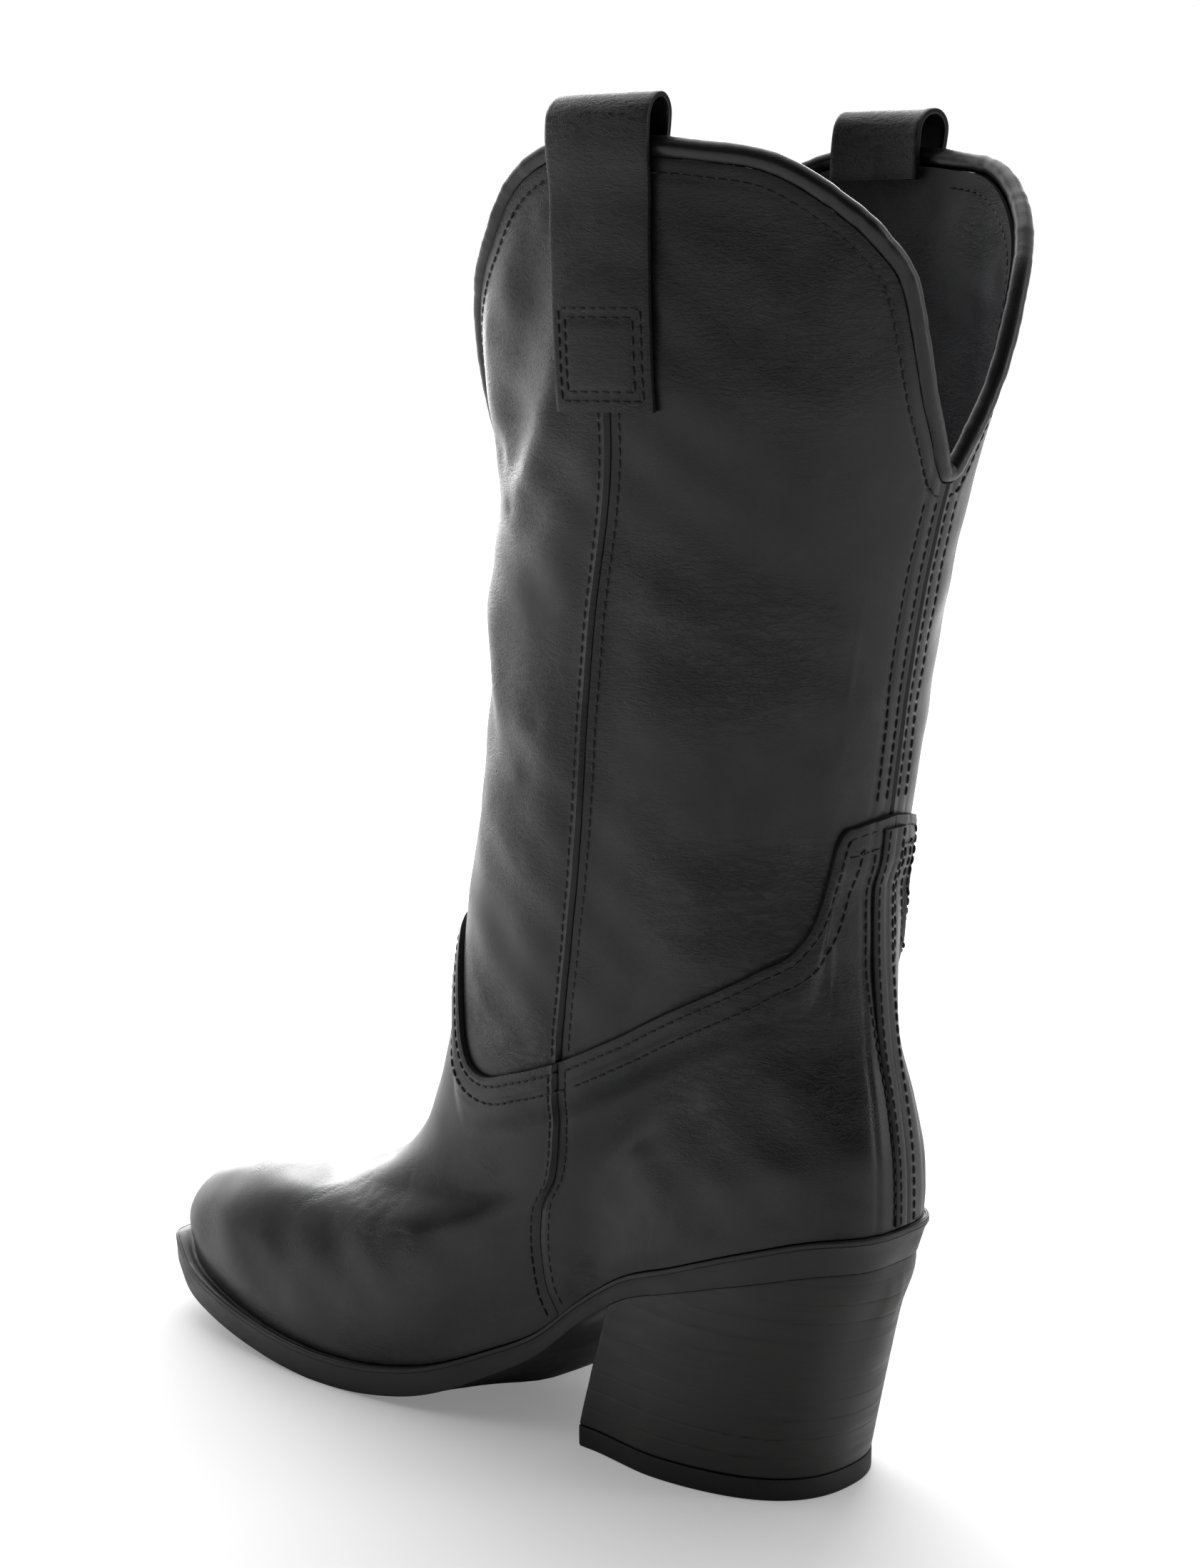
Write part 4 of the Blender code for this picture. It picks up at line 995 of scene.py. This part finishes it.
# The strip over the heel's back seam, a little thinner than its CAD piece and skived.
STRIP_DROP = 0.55 * MM
STRIP_THICKNESS = 1.05 * MM


def backstay_offset(turns, levels):
    return raised_over(counter_line)(turns, levels) + GAP + BACKSTAY_THICKNESS


half = BACKSTAY_WIDTH / 2
strip_across = np.linspace(-half, half, 13)
strip_levels = np.linspace(LINING_FOOT / 4, float(below(counter_edge, LAP / 3)(0.0)), 120)
strip_turns = np.array([turn_for_x(strip_across, v) for v in strip_levels])
strip_level_grid = np.repeat(strip_levels[:, None], len(strip_across), 1)
crown = 0.25 * MM * (1 - (strip_across / half) ** 2) - 0.28 * MM * gauss(strip_across, 0.5 * MM)
skive = 0.40 * MM * smoothstep(0.86, 1, np.abs(strip_across) / half)
stand = backstay_offset(strip_turns, strip_level_grid) - STRIP_DROP
strip = shell("heel_backstay", skin(strip_turns, strip_level_grid, stand + (crown - skive)[None]),
              skin(strip_turns, strip_level_grid, stand - STRIP_THICKNESS), 0.0)
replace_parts(strip, "heel_backstay")

# ---------------------------------------------------------------------- collar piping
PIPING_SIDES = 20
edge, out, up = collar_frame(np.linspace(-180, 180, 721)[:-1])
middle = edge + up * (PIPING_RADIUS + GAP * 0.6) - out * (LEATHER + SHAFT_LINING_DEPTH) / 4
ripple = 1 + 0.018 * waves(middle, 0.007, 8, 21) + 0.012 * waves(middle, 0.0032, 8, 22)
around = np.linspace(0, 2 * math.pi, PIPING_SIDES, endpoint=False)
tuck = 1 + 0.10 * gauss(np.sin(around) + 1, 0.25)
piping = sweep("collar_piping", middle, out, up, PIPING_RADIUS * ripple[:, None] * tuck[None],
               PIPING_SIDES, piping_mat)
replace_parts(piping, "collar_piping")

# ------------------------------------------------------------------------ linings
LINING_ROW = 4.6 * MM      # stitch row below the collar, in the lining


def lining_piece(name, stations, low, high, rows, place, depth):
    """One lining piece: its hidden side plain, its seen side with soft rolls."""
    turns, levels = sheet_grid(stations, low, high, rows, place)
    points = form(turns, levels)
    height = 0.22 * MM * waves(points, 0.030, 8, 31) + 0.10 * MM * waves(points, 0.011, 8, 32)
    collar = below_line(collar_line, turns, levels, speed(turns, levels), rise(turns, levels))
    height *= smoothstep(0, 8 * MM, collar)
    height += row_dips(collar, (LINING_ROW,))
    crease = 0.35 + 0.35 * np.clip(waves(points, 0.035, 6, 33), -1, 1)
    made = shell(name, skin(turns, levels, -depth), skin(turns, levels, -depth - LINING - height),
                 0.0, (lining_mat, cut_mat), crease)
    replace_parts(made, name)


both = stations_between((-SIDE, SIDE), 2.0 * MM)
wide_front = stations_between((SIDE, 360 - SIDE), 2.0 * MM)
join = level_row(LINING_JOIN)
foot_top = level_row(LINING_JOIN - 0.004)
foot_low = level_row(LINING_FOOT)
lining_piece("shaft_lining_front", wide_front, join, front_collar, 130, front_turn,
             SHAFT_LINING_DEPTH)
lining_piece("shaft_lining_back", both, join, back_collar, 130, back_turn, SHAFT_LINING_DEPTH)
lining_piece("vamp_lining", wide_front, foot_low, foot_top, 70, front_turn, FOOT_LINING_DEPTH)
lining_piece("heel_lining", both, foot_low, foot_top, 60, back_turn, FOOT_LINING_DEPTH)

# --------------------------------------------------------------------- pull straps
LOOP_BULGE_OUT = 2.9 * MM  # the loop swells that far beyond its two legs
LOOP_BULGE_IN = 1.2 * MM


def strap_path():
    """The strap's middle line: distance outside the form and height from the collar crest."""
    half = STRAP_THICKNESS / 2
    outside = GAP + half
    inside = SHAFT_LINING_DEPTH + LINING + 2 * GAP + half
    loop_outer = outside + LOOP_BULGE_OUT
    loop_inner = inside + LOOP_BULGE_IN
    radius = (loop_outer + loop_inner) / 2
    middle = (loop_outer - loop_inner) / 2
    loop_height = STRAP_LOOP_RISE - half - radius
    path = [(outside, -STRAP_DROP * s) for s in (1, 0.8, 0.6, 0.4, 0.2)]
    path += [(outside + 0.0009, -0.004), (outside + 0.0021, 0.002)]
    for step in range(9):
        a = math.pi * step / 8
        path.append((middle + radius * math.cos(a), loop_height + radius * math.sin(a)))
    path += [(-inside - 0.0007, 0.002), (-inside, -STRAP_TUCK / 2), (-inside, -STRAP_TUCK)]
    path = np.array(path)
    for _ in range(3):
        mid = (path[:-1] + path[1:]) / 2
        fine = np.empty((len(path) * 2 - 1, 2))
        fine[::2] = path
        fine[1::2] = mid
        smooth = fine.copy()
        smooth[1:-1] = (fine[:-2] + 2 * fine[1:-1] + fine[2:]) / 4
        path = smooth
    return path


def strap_section(across, thick, ease):
    """Half thickness of the strap across its width, rounded off at its cut edges."""
    inside = np.clip((STRAP_WIDTH / 2 - np.abs(across)) / ease, 0, 1)
    return thick * (0.55 + 0.45 * np.sqrt(1 - (1 - inside) ** 2))


STRAP_ROW = 2.6 * MM       # the sewn rectangle's inset from the strap's edge
STRAP_ROWS_APART = 2.3 * MM
STRAP_BOX = 25.5 * MM      # and its upper side, along the strap
STRAP_PUFF = 0.12 * MM     # the leather inside the rectangle stands that much proud


def make_strap(side, sign):
    path = strap_path()
    run = unit(np.gradient(path, axis=0))
    aside = np.stack((run[:, 1], -run[:, 0]), 1)
    length = run_along(path)
    half_width = STRAP_WIDTH / 2
    across = np.sort(np.concatenate((np.linspace(-half_width, half_width, 41),
                                     [-half_width + 0.1 * MM, half_width - 0.1 * MM])))
    levels = np.linspace(0.6, 1.0, 161)
    crest = float(form(STRAP_TURN, collar_line(STRAP_TURN))[2])
    turn = sign * STRAP_TURN
    heights = form(turn, levels)[:, 2]
    inset, box_top = STRAP_ROW, STRAP_BOX
    inner_inset, inner_top = inset + STRAP_ROWS_APART, box_top - STRAP_ROWS_APART
    x = np.abs(across)[None, :]
    s = length[:, None]

    def frame_of(edge_inset, low, high):
        """Distance to the outline of a sewn rectangle."""
        dx = np.abs(x - (half_width - edge_inset))
        in_y = (s > low - 0.3 * MM) & (s < high + 0.3 * MM)
        in_x = x < half_width - edge_inset + 0.3 * MM
        near_side = np.where(in_y, dx, 9.0)
        near_ends = np.where(in_x, np.minimum(np.abs(s - low), np.abs(s - high)), 9.0)
        return np.minimum(near_side, near_ends)

    outer_box = frame_of(inset, inset, box_top)
    inner_box = frame_of(inner_inset, inner_inset, inner_top)
    dip = -0.22 * MM * gauss(outer_box, 0.5 * MM) - STITCH_DIP * gauss(inner_box, 0.5 * MM)
    within = (x < half_width - inner_inset) & (s > inner_inset) & (s < inner_top)
    puff = np.where(within, STRAP_PUFF, 0.0)
    roll = 0.18 * MM * waves(np.stack(np.broadcast_arrays(x * 0.6, s, s * 0), -1), 0.022, 6, 41)
    roll = roll * smoothstep(box_top, box_top + 12 * MM, s)
    half = strap_section(across, STRAP_THICKNESS / 2, 0.7 * MM)[None, :]
    faces = []
    for way in (1, -1):
        thick = half + (dip + puff if way > 0 else 0)
        offset = path[:, :1] + aside[:, :1] * thick * way + roll
        height = path[:, 1:] + aside[:, 1:] * thick * way
        level = np.interp(crest + height, heights, levels)
        # The form reaches above the collar, so the loop is laid on it too.
        turns = turn + across[None, :] / speed(turn, level)
        faces.append(skin(turns, level, offset))
    crease = np.clip(0.25 + 0.5 * gauss(s - (STRAP_DROP + 12 * MM), 12 * MM) + 0 * x, 0, 1)
    strap = shell("pull_strap_" + side, faces[0], faces[1], crease)
    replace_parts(strap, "pull_strap_" + side)

    def sew_box(edge_inset, low, high):
        edge = half_width - edge_inset
        corners = ((-edge, low), (edge, low), (edge, high), (-edge, high), (-edge, low))
        n = 30             # points along each side
        g = faces[0]
        for (x0, s0), (x1, s1) in zip(corners[:-1], corners[1:]):
            xs = np.linspace(x0, x1, n)
            ss = np.linspace(s0, s1, n)
            rows = np.interp(ss, length, np.arange(len(length)))
            cols = np.interp(xs, across, np.arange(len(across)))
            r0 = np.clip(rows.astype(int), 0, len(length) - 2)
            c0 = np.clip(cols.astype(int), 0, len(across) - 2)
            fr = (rows - r0)[:, None]
            fc = (cols - c0)[:, None]
            line = ((g[r0, c0] * (1 - fc) + g[r0, c0 + 1] * fc) * (1 - fr)
                    + (g[r0 + 1, c0] * (1 - fc) + g[r0 + 1, c0 + 1] * fc) * fr)
            ups = normal(np.full(n, turn), np.full(n, 0.85))
            sew(line + ups * 0.12 * MM, ups)

    sew_box(inset, inset, box_top)
    sew_box(inner_inset, inner_inset, inner_top)


make_strap("inner", 1)
make_strap("outer", -1)

# ------------------------------------------------------------------ rows of stitching
def sew_below(kind, line, turns, distance):
    """A row that follows a line round the boot, a distance below it."""
    sew(*surface(kind, *beside(turns, line(folded(turns)), distance, 6)))


for sign in (1, -1):
    kind = "shaft_back_inner" if sign > 0 else "shaft_back_outer"
    sew_below(kind, collar_line, sign * np.linspace(1.5, 86.5, 200), COLLAR_ROW)
    kind = "counter_inner" if sign > 0 else "counter_outer"
    for row in LAP_ROWS:
        sew_below(kind, counter_line, sign * np.linspace(7.5, 93.8, 260), row)
sew_below("shaft_front", collar_line, np.linspace(90.5, 269.5, 300), COLLAR_ROW)
for row in LAP_ROWS:
    sew_below("vamp", vamp_line, np.linspace(95.2, 264.8, 320), row)


def sew_up(kind, centre, distance, low, high, sign=1, shift=1):
    """A row beside an upright seam, a distance to one side of it."""
    level = np.linspace(low, high, 160)
    seam = centre(level) * sign
    sew(*surface(kind, seam + shift * distance / speed(seam, level), level))


def middle_back(level):
    return np.zeros_like(level)


lap_top = float(vamp_line(94.5))
counter_peak = float(counter_line(0.0))
strap_foot = 0.835         # the level where the straps' lower ends begin
for sign in (1, -1):
    side = "inner" if sign > 0 else "outer"
    sew_up("shaft_front", side_seam_at, SIDE_ROW, lap_top + 0.006, strap_foot, sign, sign)
    sew_up("shaft_back_" + side, side_seam_at, SIDE_ROW, lap_top + 0.006, strap_foot, sign, -sign)
    sew_up("vamp", side_seam_at, SIDE_ROW, 0.01, lap_top - 0.008, sign, sign)
    sew_up("counter_" + side, side_seam_at, SIDE_ROW, 0.01, lap_top - 0.008, sign, -sign)
    for row in BACK_ROWS:
        sew_up("shaft_back_" + side, middle_back, row, counter_peak + 0.012, 0.765, 1, sign)
    sew_up("counter_" + side, middle_back, BACK_ROWS[1], 0.02, counter_peak - 0.03, 1, sign)

strip_row = BACKSTAY_WIDTH / 2 - 1.3 * MM
for sign in (1, -1):
    column = np.array([turn_for_x(np.array([sign * strip_row]), v)[0] for v in strip_levels])
    points = skin(column, strip_levels, backstay_offset(column, strip_levels) - 0.33 * MM)
    sew(points, normal(column, strip_levels))
# The row round the lining, seen inside the collar.
lining_turns = np.linspace(-178, 178, 700)
turn, level = beside(lining_turns, collar_line(folded(lining_turns)), LINING_ROW, 6)
inward = normal(turn, level)
clear = np.abs(np.abs(turn) - STRAP_TURN) > 19
run_start = 0
for i in range(1, len(turn) + 1):
    if i == len(turn) or clear[i] != clear[run_start]:
        if clear[run_start] and i - run_start > 4:
            sew(form(turn[run_start:i], level[run_start:i])
                - inward[run_start:i] * (SHAFT_LINING_DEPTH + LINING - 0.02 * MM),
                -inward[run_start:i])
        run_start = i
make_stitches("stitching", thread_mat)

# --------------------------------------------------------------------------- outsole
def even_turns(count):
    """Turns spaced evenly along the sole's outline, one side, heel to toe."""
    t = np.linspace(0.0, 180.0, 2400)
    points = form(t, np.zeros_like(t))[:, :2]
    run = run_along(points)
    return np.interp(np.linspace(0, run[-1], count), run, t)


def make_outsole():
    one_side = even_turns(260)
    turns = np.concatenate((one_side, -one_side[-2:0:-1]))
    points, out = outline_frame(turns)
    out = unit(eased(out, 6))
    ledge = ledge_at(turns)
    profile = []

    mirror = (-np.arange(len(turns))) % len(turns)
    width = np.linalg.norm((points - points[mirror])[:, :2], axis=1) + 2 * ledge
    outer_side = turns < 0
    depth = outsole_depth(points[:, 1]) + belly(points[:, 1], np.where(outer_side, 0.0, 1.0))
    inset = np.clip((ledge + 5.0 * MM) / np.maximum(width, 12 * MM), 0, 0.5)
    inner_depth = (outsole_depth(points[:, 1])
                   + belly(points[:, 1], np.where(outer_side, inset, 1 - inset)))
    taper = rand_taper(turns)
    steps = [(-4.0 * MM, 0), (-0.2 * MM, 0)]
    # A shallow welt groove, the ledge, its pressed line and the eased edge.
    steps += [(ledge * share, drop * MM) for share, drop in
              ((0.12, 0.30), (0.26, 0.34), (0.38, 0.04), (0.52, 0))]
    steps += [(ledge - np.minimum(back * MM, ledge * share), drop * MM) for back, share, drop in
              ((0.95, 0.40, 0), (0.75, 0.32, 0.16), (0.55, 0.24, 0.02))]
    steps += [(ledge - back * MM, drop * MM) for back, drop in
              ((0.14, 0.06), (0.03, 0.22), (0, 0.5), (0, 1.15), (0.16, 1.35), (0, 1.55))]
    steps += [(ledge - taper * share, depth * share) for share in (0.35, 0.5, 0.65, 0.8)]
    steps += [(ledge - taper * 0.94, depth - 0.55 * MM),
              (ledge - taper - 0.04 * MM, depth - 0.14 * MM),
              (ledge - taper - 0.3 * MM, depth), (-5.0 * MM, inner_depth)]
    for reach, drop in steps:
        place = points + out * np.broadcast_to(reach, len(turns))[:, None]
        place[:, 2] = outsole_top(place[:, 1]) - drop
        profile.append(place)
    profile = np.array(profile)
    rows, count = profile.shape[:2]
    faces = [tuple(f) for f in grid_faces(rows, count, 0, True)]
    half_count = len(one_side)
    middle = []
    across = np.linspace(0, 1, 11)
    for row in (0, rows - 1):
        first = rows * count + len(middle)
        for i in range(1, half_count - 1):
            a, b = profile[row, i], profile[row, (count - i) % count]
            for share in across[1:-1]:
                spot = a + (b - a) * share
                spot[2] = outsole_top(spot[1])
                if row:
                    place = 1 - inset[i] - (1 - 2 * inset[i]) * share
                    spot[2] -= outsole_depth(spot[1]) + belly(spot[1], place)
                middle.append(spot)

        def corner(i, k):
            if i in (0, half_count - 1) or k == 0:
                return row * count + i
            if k == len(across) - 1:
                return row * count + (count - i) % count
            return first + (i - 1) * (len(across) - 2) + k - 1

        for i in range(half_count - 1):
            for k in range(len(across) - 1):
                quad = tuple(dict.fromkeys((corner(i, k), corner(i + 1, k),
                                            corner(i + 1, k + 1), corner(i, k + 1))))
                if len(quad) > 2:
                    faces.append(quad)
    sole = make("outsole", np.concatenate((profile.reshape(-1, 3), middle)), faces, (sole_mat,),
                smooth=40)
    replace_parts(sole, "outsole")


make_outsole()


def flat_layer(name, rise_low, rise_high, mat):
    """A lining layer of the bottom with a soft rounded edge and a slight dish."""
    one_side = even_turns(180)
    one_side = one_side[(one_side > 8) & (one_side < 170)]
    turns = np.concatenate((one_side, -one_side[::-1]))
    points, out = outline_frame(turns)
    reach = -(FOOT_LINING_DEPTH + LINING + 2 * GAP)
    rings = []
    for inset, up in ((0.0, rise_low), (0.0, rise_high - 0.4 * MM),
                      (0.25 * MM, rise_high - 0.1 * MM), (0.8 * MM, rise_high)):
        place = points + out * (reach - inset)
        place[:, 2] = edge_height(place[:, 1]) + up
        rings.append(place)
    for share in (0.8, 0.6, 0.4, 0.2):
        middle = (rings[3] + rings[3][::-1]) / 2
        place = middle + (rings[3] - middle) * share
        place[:, 2] = edge_height(place[:, 1]) + rise_high - 0.3 * MM * (1 - share ** 2)
        rings.append(place)
    grid = np.array(rings)
    count = len(turns)
    faces = [tuple(f) for f in grid_faces(len(rings), count, 0, True)]
    n = len(one_side)
    for row in (0, len(rings) - 1):
        for i in range(n - 1):
            faces.append((row * count + i, row * count + i + 1,
                          row * count + count - i - 2, row * count + count - i - 1))
    return make(name, grid, faces, (mat,), crease=np.full(grid.shape[:2], 0.4))


sock_low = FILLER + GAP + INSOLE + GAP
sock = flat_layer("sock_lining", sock_low, sock_low + SOCK, lining_mat)
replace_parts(sock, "sock_lining")

# ------------------------------------------------------------------------------ heel
def heel_ring(share, inset=0.0):
    """The heel's outline at one height, evenly spaced and with its corners eased."""
    y, low, high = heel_section(share, inset)
    fine = HEEL_RUN[-1] * np.linspace(0, 1, 60)
    y_fine = np.interp(fine, HEEL_RUN, y)
    sides = [np.stack((curve(HEEL_RUN, side)(fine), y_fine), 1) for side in (low, high)]
    loop = np.concatenate((sides[0][::-1], sides[1]))
    closed = np.concatenate((loop, loop[:1]))
    length = run_along(closed)
    s = np.linspace(0, length[-1], 321)[:-1]
    ring = np.stack((np.interp(s, length, closed[:, 0]), np.interp(s, length, closed[:, 1])), 1)
    ring = eased(ring, 3)
    round_ring = eased(ring, 30)
    back_share = (ring[:, 1] - y[0]) / (y[-1] - y[0])
    rear = smoothstep(0.45, 0.85, back_share)[:, None]
    rear = rear * smoothstep(0, 0.4, share)
    # At the seat the block follows the rand's foot all round its back.
    foot_turns = np.linspace(-60, 60, 400)
    foot, foot_out = outline_frame(foot_turns)
    foot = foot + foot_out * (ledge_at(foot_turns) - rand_taper(foot_turns) - 0.2 * MM)[:, None]
    gaps = np.linalg.norm(ring[:, None] - foot[None, :, :2], axis=-1)
    hold = smoothstep(0.35, 0.6, back_share)[:, None]
    hold = hold * (1 - smoothstep(0, 0.3, share))
    ring = ring + (foot[np.argmin(gaps, axis=1), :2] - ring) * hold
    return ring + (round_ring - ring) * rear


def ring_out(ring):
    ahead = np.roll(ring, -1, 0) - np.roll(ring, 1, 0)
    out = np.stack((ahead[:, 1], -ahead[:, 0]), 1)
    out /= np.maximum(np.linalg.norm(out, axis=1, keepdims=True), 1e-9)
    if ((ring - ring.mean(0)) * out).sum() < 0:
        out = -out
    return out


def stacked_loft(name, rings, material):
    """A solid through rings of points, closed with a flat face at each end."""
    count = len(rings[0])
    grid = np.array(rings)
    faces = [tuple(f) for f in grid_faces(len(rings), count, 0, True)]
    faces.append(tuple(range(count))[::-1])
    faces.append(tuple((len(rings) - 1) * count + i for i in range(count)))
    return make(name, grid, faces, (material,), smooth=38)


LAYER_PITCH = 5.7 * MM     # thickness of one layer of the stacked heel
LAYER_GROOVE = 0.05 * MM   # depth of the line between two layers
LAYER_GROOVE_BACK = 0.14 * MM
LAYER_GROOVE_WIDTH = 0.22 * MM
SEAT_CLEAR = 0.12 * MM     # the block's top lies that far below the outsole


def seat_height(y):
    return outsole_bottom(y) - SEAT_CLEAR


SEEN_ROWS = 170            # rings down the heel block, enough for its layer lines
LIFT_RINGS = ((TOP_LIFT, 0.14), (TOP_LIFT - 0.10 * MM, 0.04), (TOP_LIFT - 0.3 * MM, 0.0),
              (4.0 * MM, 0.0), (2.5 * MM, 0.02), (1.0 * MM, 0.03), (0.5 * MM, 0.08),
              (0.15 * MM, 0.25), (0.0, 0.55))      # height, and inset in millimetres


def make_heel_looks():
    rings = []
    seat = seat_height(np.clip(heel_ring(0.0)[:, 1], BREAST_Y, 0))
    low = TOP_LIFT + GAP
    for share in np.linspace(0.0, 1.0, SEEN_ROWS):
        ring = heel_ring(share)
        out = ring_out(ring)
        z = seat + (low - seat) * share
        # Layer lines run level across the block, deeper towards its back.
        back_share = smoothstep(-0.075, -0.035, ring[:, 1])
        layer = (z - low) / LAYER_PITCH
        phase = np.abs(layer - np.round(layer)) * LAYER_PITCH
        wander = 0.5 + 0.5 * np.sin(z * 900 + ring[:, 1] * 60)
        deep = LAYER_GROOVE + LAYER_GROOVE_BACK * back_share * wander
        groove = -deep * gauss(phase, LAYER_GROOVE_WIDTH)
        ease = -0.14 * MM * (gauss(z - low, 0.28 * MM) + 0.5 * gauss(seat - z, 0.25 * MM))
        flat = ring + out * (groove + ease)[:, None]
        rings.append(np.column_stack((flat, z)))
    heel = stacked_loft("heel_block", rings, heel_mat)
    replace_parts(heel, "heel_block")
    rings = []
    for z, inset in LIFT_RINGS:
        ring = heel_ring(1.0, -0.3 * MM)
        flat = ring - ring_out(ring) * inset * MM
        rings.append(np.column_stack((flat, np.full(len(ring), z))))
    lift = stacked_loft("heel_top_lift", rings, lift_mat)
    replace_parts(lift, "heel_top_lift")


make_heel_looks()

# ----------------------------------------------------------- pieces that keep their shape
for name, mat in (("toe_puff", board_mat), ("heel_counter_stiffener", board_mat),
                  ("side_seam_tape_inner", tape_mat), ("side_seam_tape_outer", tape_mat),
                  ("back_seam_tape", tape_mat), ("shank_filler", cork_mat),
                  ("insole_board", insole_mat), ("steel_shank", steel_mat),
                  ("heel_screw", steel_mat),
                  *((f"heel_nail_{k}", steel_mat) for k in range(1, 5))):
    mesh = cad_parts[name].data
    mesh.materials.clear()
    mesh.materials.append(mat)

# ------------------------------------------------------------- floor, light and camera
world = bpy.data.worlds.new("studio")
bpy.context.scene.world = world
world.use_nodes = True
sky = world.node_tree
background = sky.nodes["Background"]
background.inputs["Color"].default_value = (1.0, 1.0, 1.0, 1)
direction = sky.nodes.new("ShaderNodeTexCoord").outputs["Generated"]
toward = node(sky, "VectorMath", {0: direction, 1: (-0.62, -0.55, 0.56)})
toward.operation = "DOT_PRODUCT"
glow = ramp(sky, toward.outputs["Value"], -0.2, 0.9, 0.01, 1.1)
seen = sky.nodes.new("ShaderNodeLightPath").outputs["Is Camera Ray"]
strength = node(sky, "Mix", {0: seen, 2: glow, 3: 1.0})
sky.links.new(strength.outputs[0], background.inputs["Strength"])

floor_mat, floor_tree, floor_shader, where = start("pale_floor_painted_glow", (0.80, 0.80, 0.80), 0.9, 0.1)
spot = node(floor_tree, "VectorMath", {0: where})
spot.operation = "LENGTH"
# Painted glow: the floor glows white for the camera only, weakly near the boot and fully away from
# it, so that it looks brightly lit though it is no lamp.
far = ramp(floor_tree, spot.outputs["Value"], 0.12, 0.60, 0.22, 1.0)
camera_ray = floor_tree.nodes.new("ShaderNodeLightPath").outputs["Is Camera Ray"]
floor_shader.inputs["Emission Color"].default_value = (1, 1, 1, 1)
floor_tree.links.new(math_node(floor_tree, "MULTIPLY", far, camera_ray),
                     floor_shader.inputs["Emission Strength"])
floor_mesh = bpy.data.meshes.new("floor")
floor_mesh.from_pydata([(-6, -6, 0), (6, -6, 0), (6, 6, 0), (-6, 6, 0)], [], [(0, 1, 2, 3)])
floor_mesh.materials.append(floor_mat)


link("floor", floor_mesh)
MIDDLE = (0, -0.108, 0.184)          # the middle of the boot, in the design frame
CENTRE = (0, MIDDLE[1] + SHIFT[1], MIDDLE[2])


def lamp(name, place, size, power):
    light = bpy.data.lights.new(name, "AREA")
    light.shape = "RECTANGLE"
    light.size, light.size_y = size
    light.energy = power
    made = link(name, light)
    made.location = place
    way = np.array(CENTRE) - np.array(place)
    made.rotation_euler = mathutils.Vector(way).to_track_quat("-Z", "Y").to_euler()
    made.visible_camera = False


# Soft light from above and from the far sides, as in the photo; power in watts.
lamp("top_softbox", (-0.7, -0.7, 2.0), (1.6, 1.6), 12)
lamp("left_softbox", (-0.55, -1.7, 0.75), (1.1, 1.5), 9)
lamp("back_softbox", (-1.2, -1.0, 0.66), (1.6, 1.1), 34)
lamp("right_softbox", (-0.9, 1.6, 0.6), (0.5, 1.2), 6)
lamp("camera_fill", (1.7, 0.5, 1.3), (0.8, 0.8), 0.3)

PHOTO_HEIGHT = 2197
FOCAL_PIXELS = 4250
azimuth, elevation, distance = math.radians(130), math.radians(10.0), 0.85
target = mathutils.Vector(MIDDLE) + mathutils.Vector(SHIFT)
back_way = mathutils.Vector((math.sin(azimuth) * math.cos(elevation),
                             -math.cos(azimuth) * math.cos(elevation), math.sin(elevation)))
camera_data = bpy.data.cameras.new("camera")
camera_data.sensor_fit = "VERTICAL"
camera_data.sensor_height = 36.0
camera_data.lens = camera_data.sensor_height * FOCAL_PIXELS / PHOTO_HEIGHT
camera = link("camera", camera_data)
camera.location = target + back_way * distance
camera.rotation_euler = (-back_way).to_track_quat("-Z", "Y").to_euler()
bpy.context.scene.camera = camera
bpy.context.scene.view_settings.view_transform = "Standard"
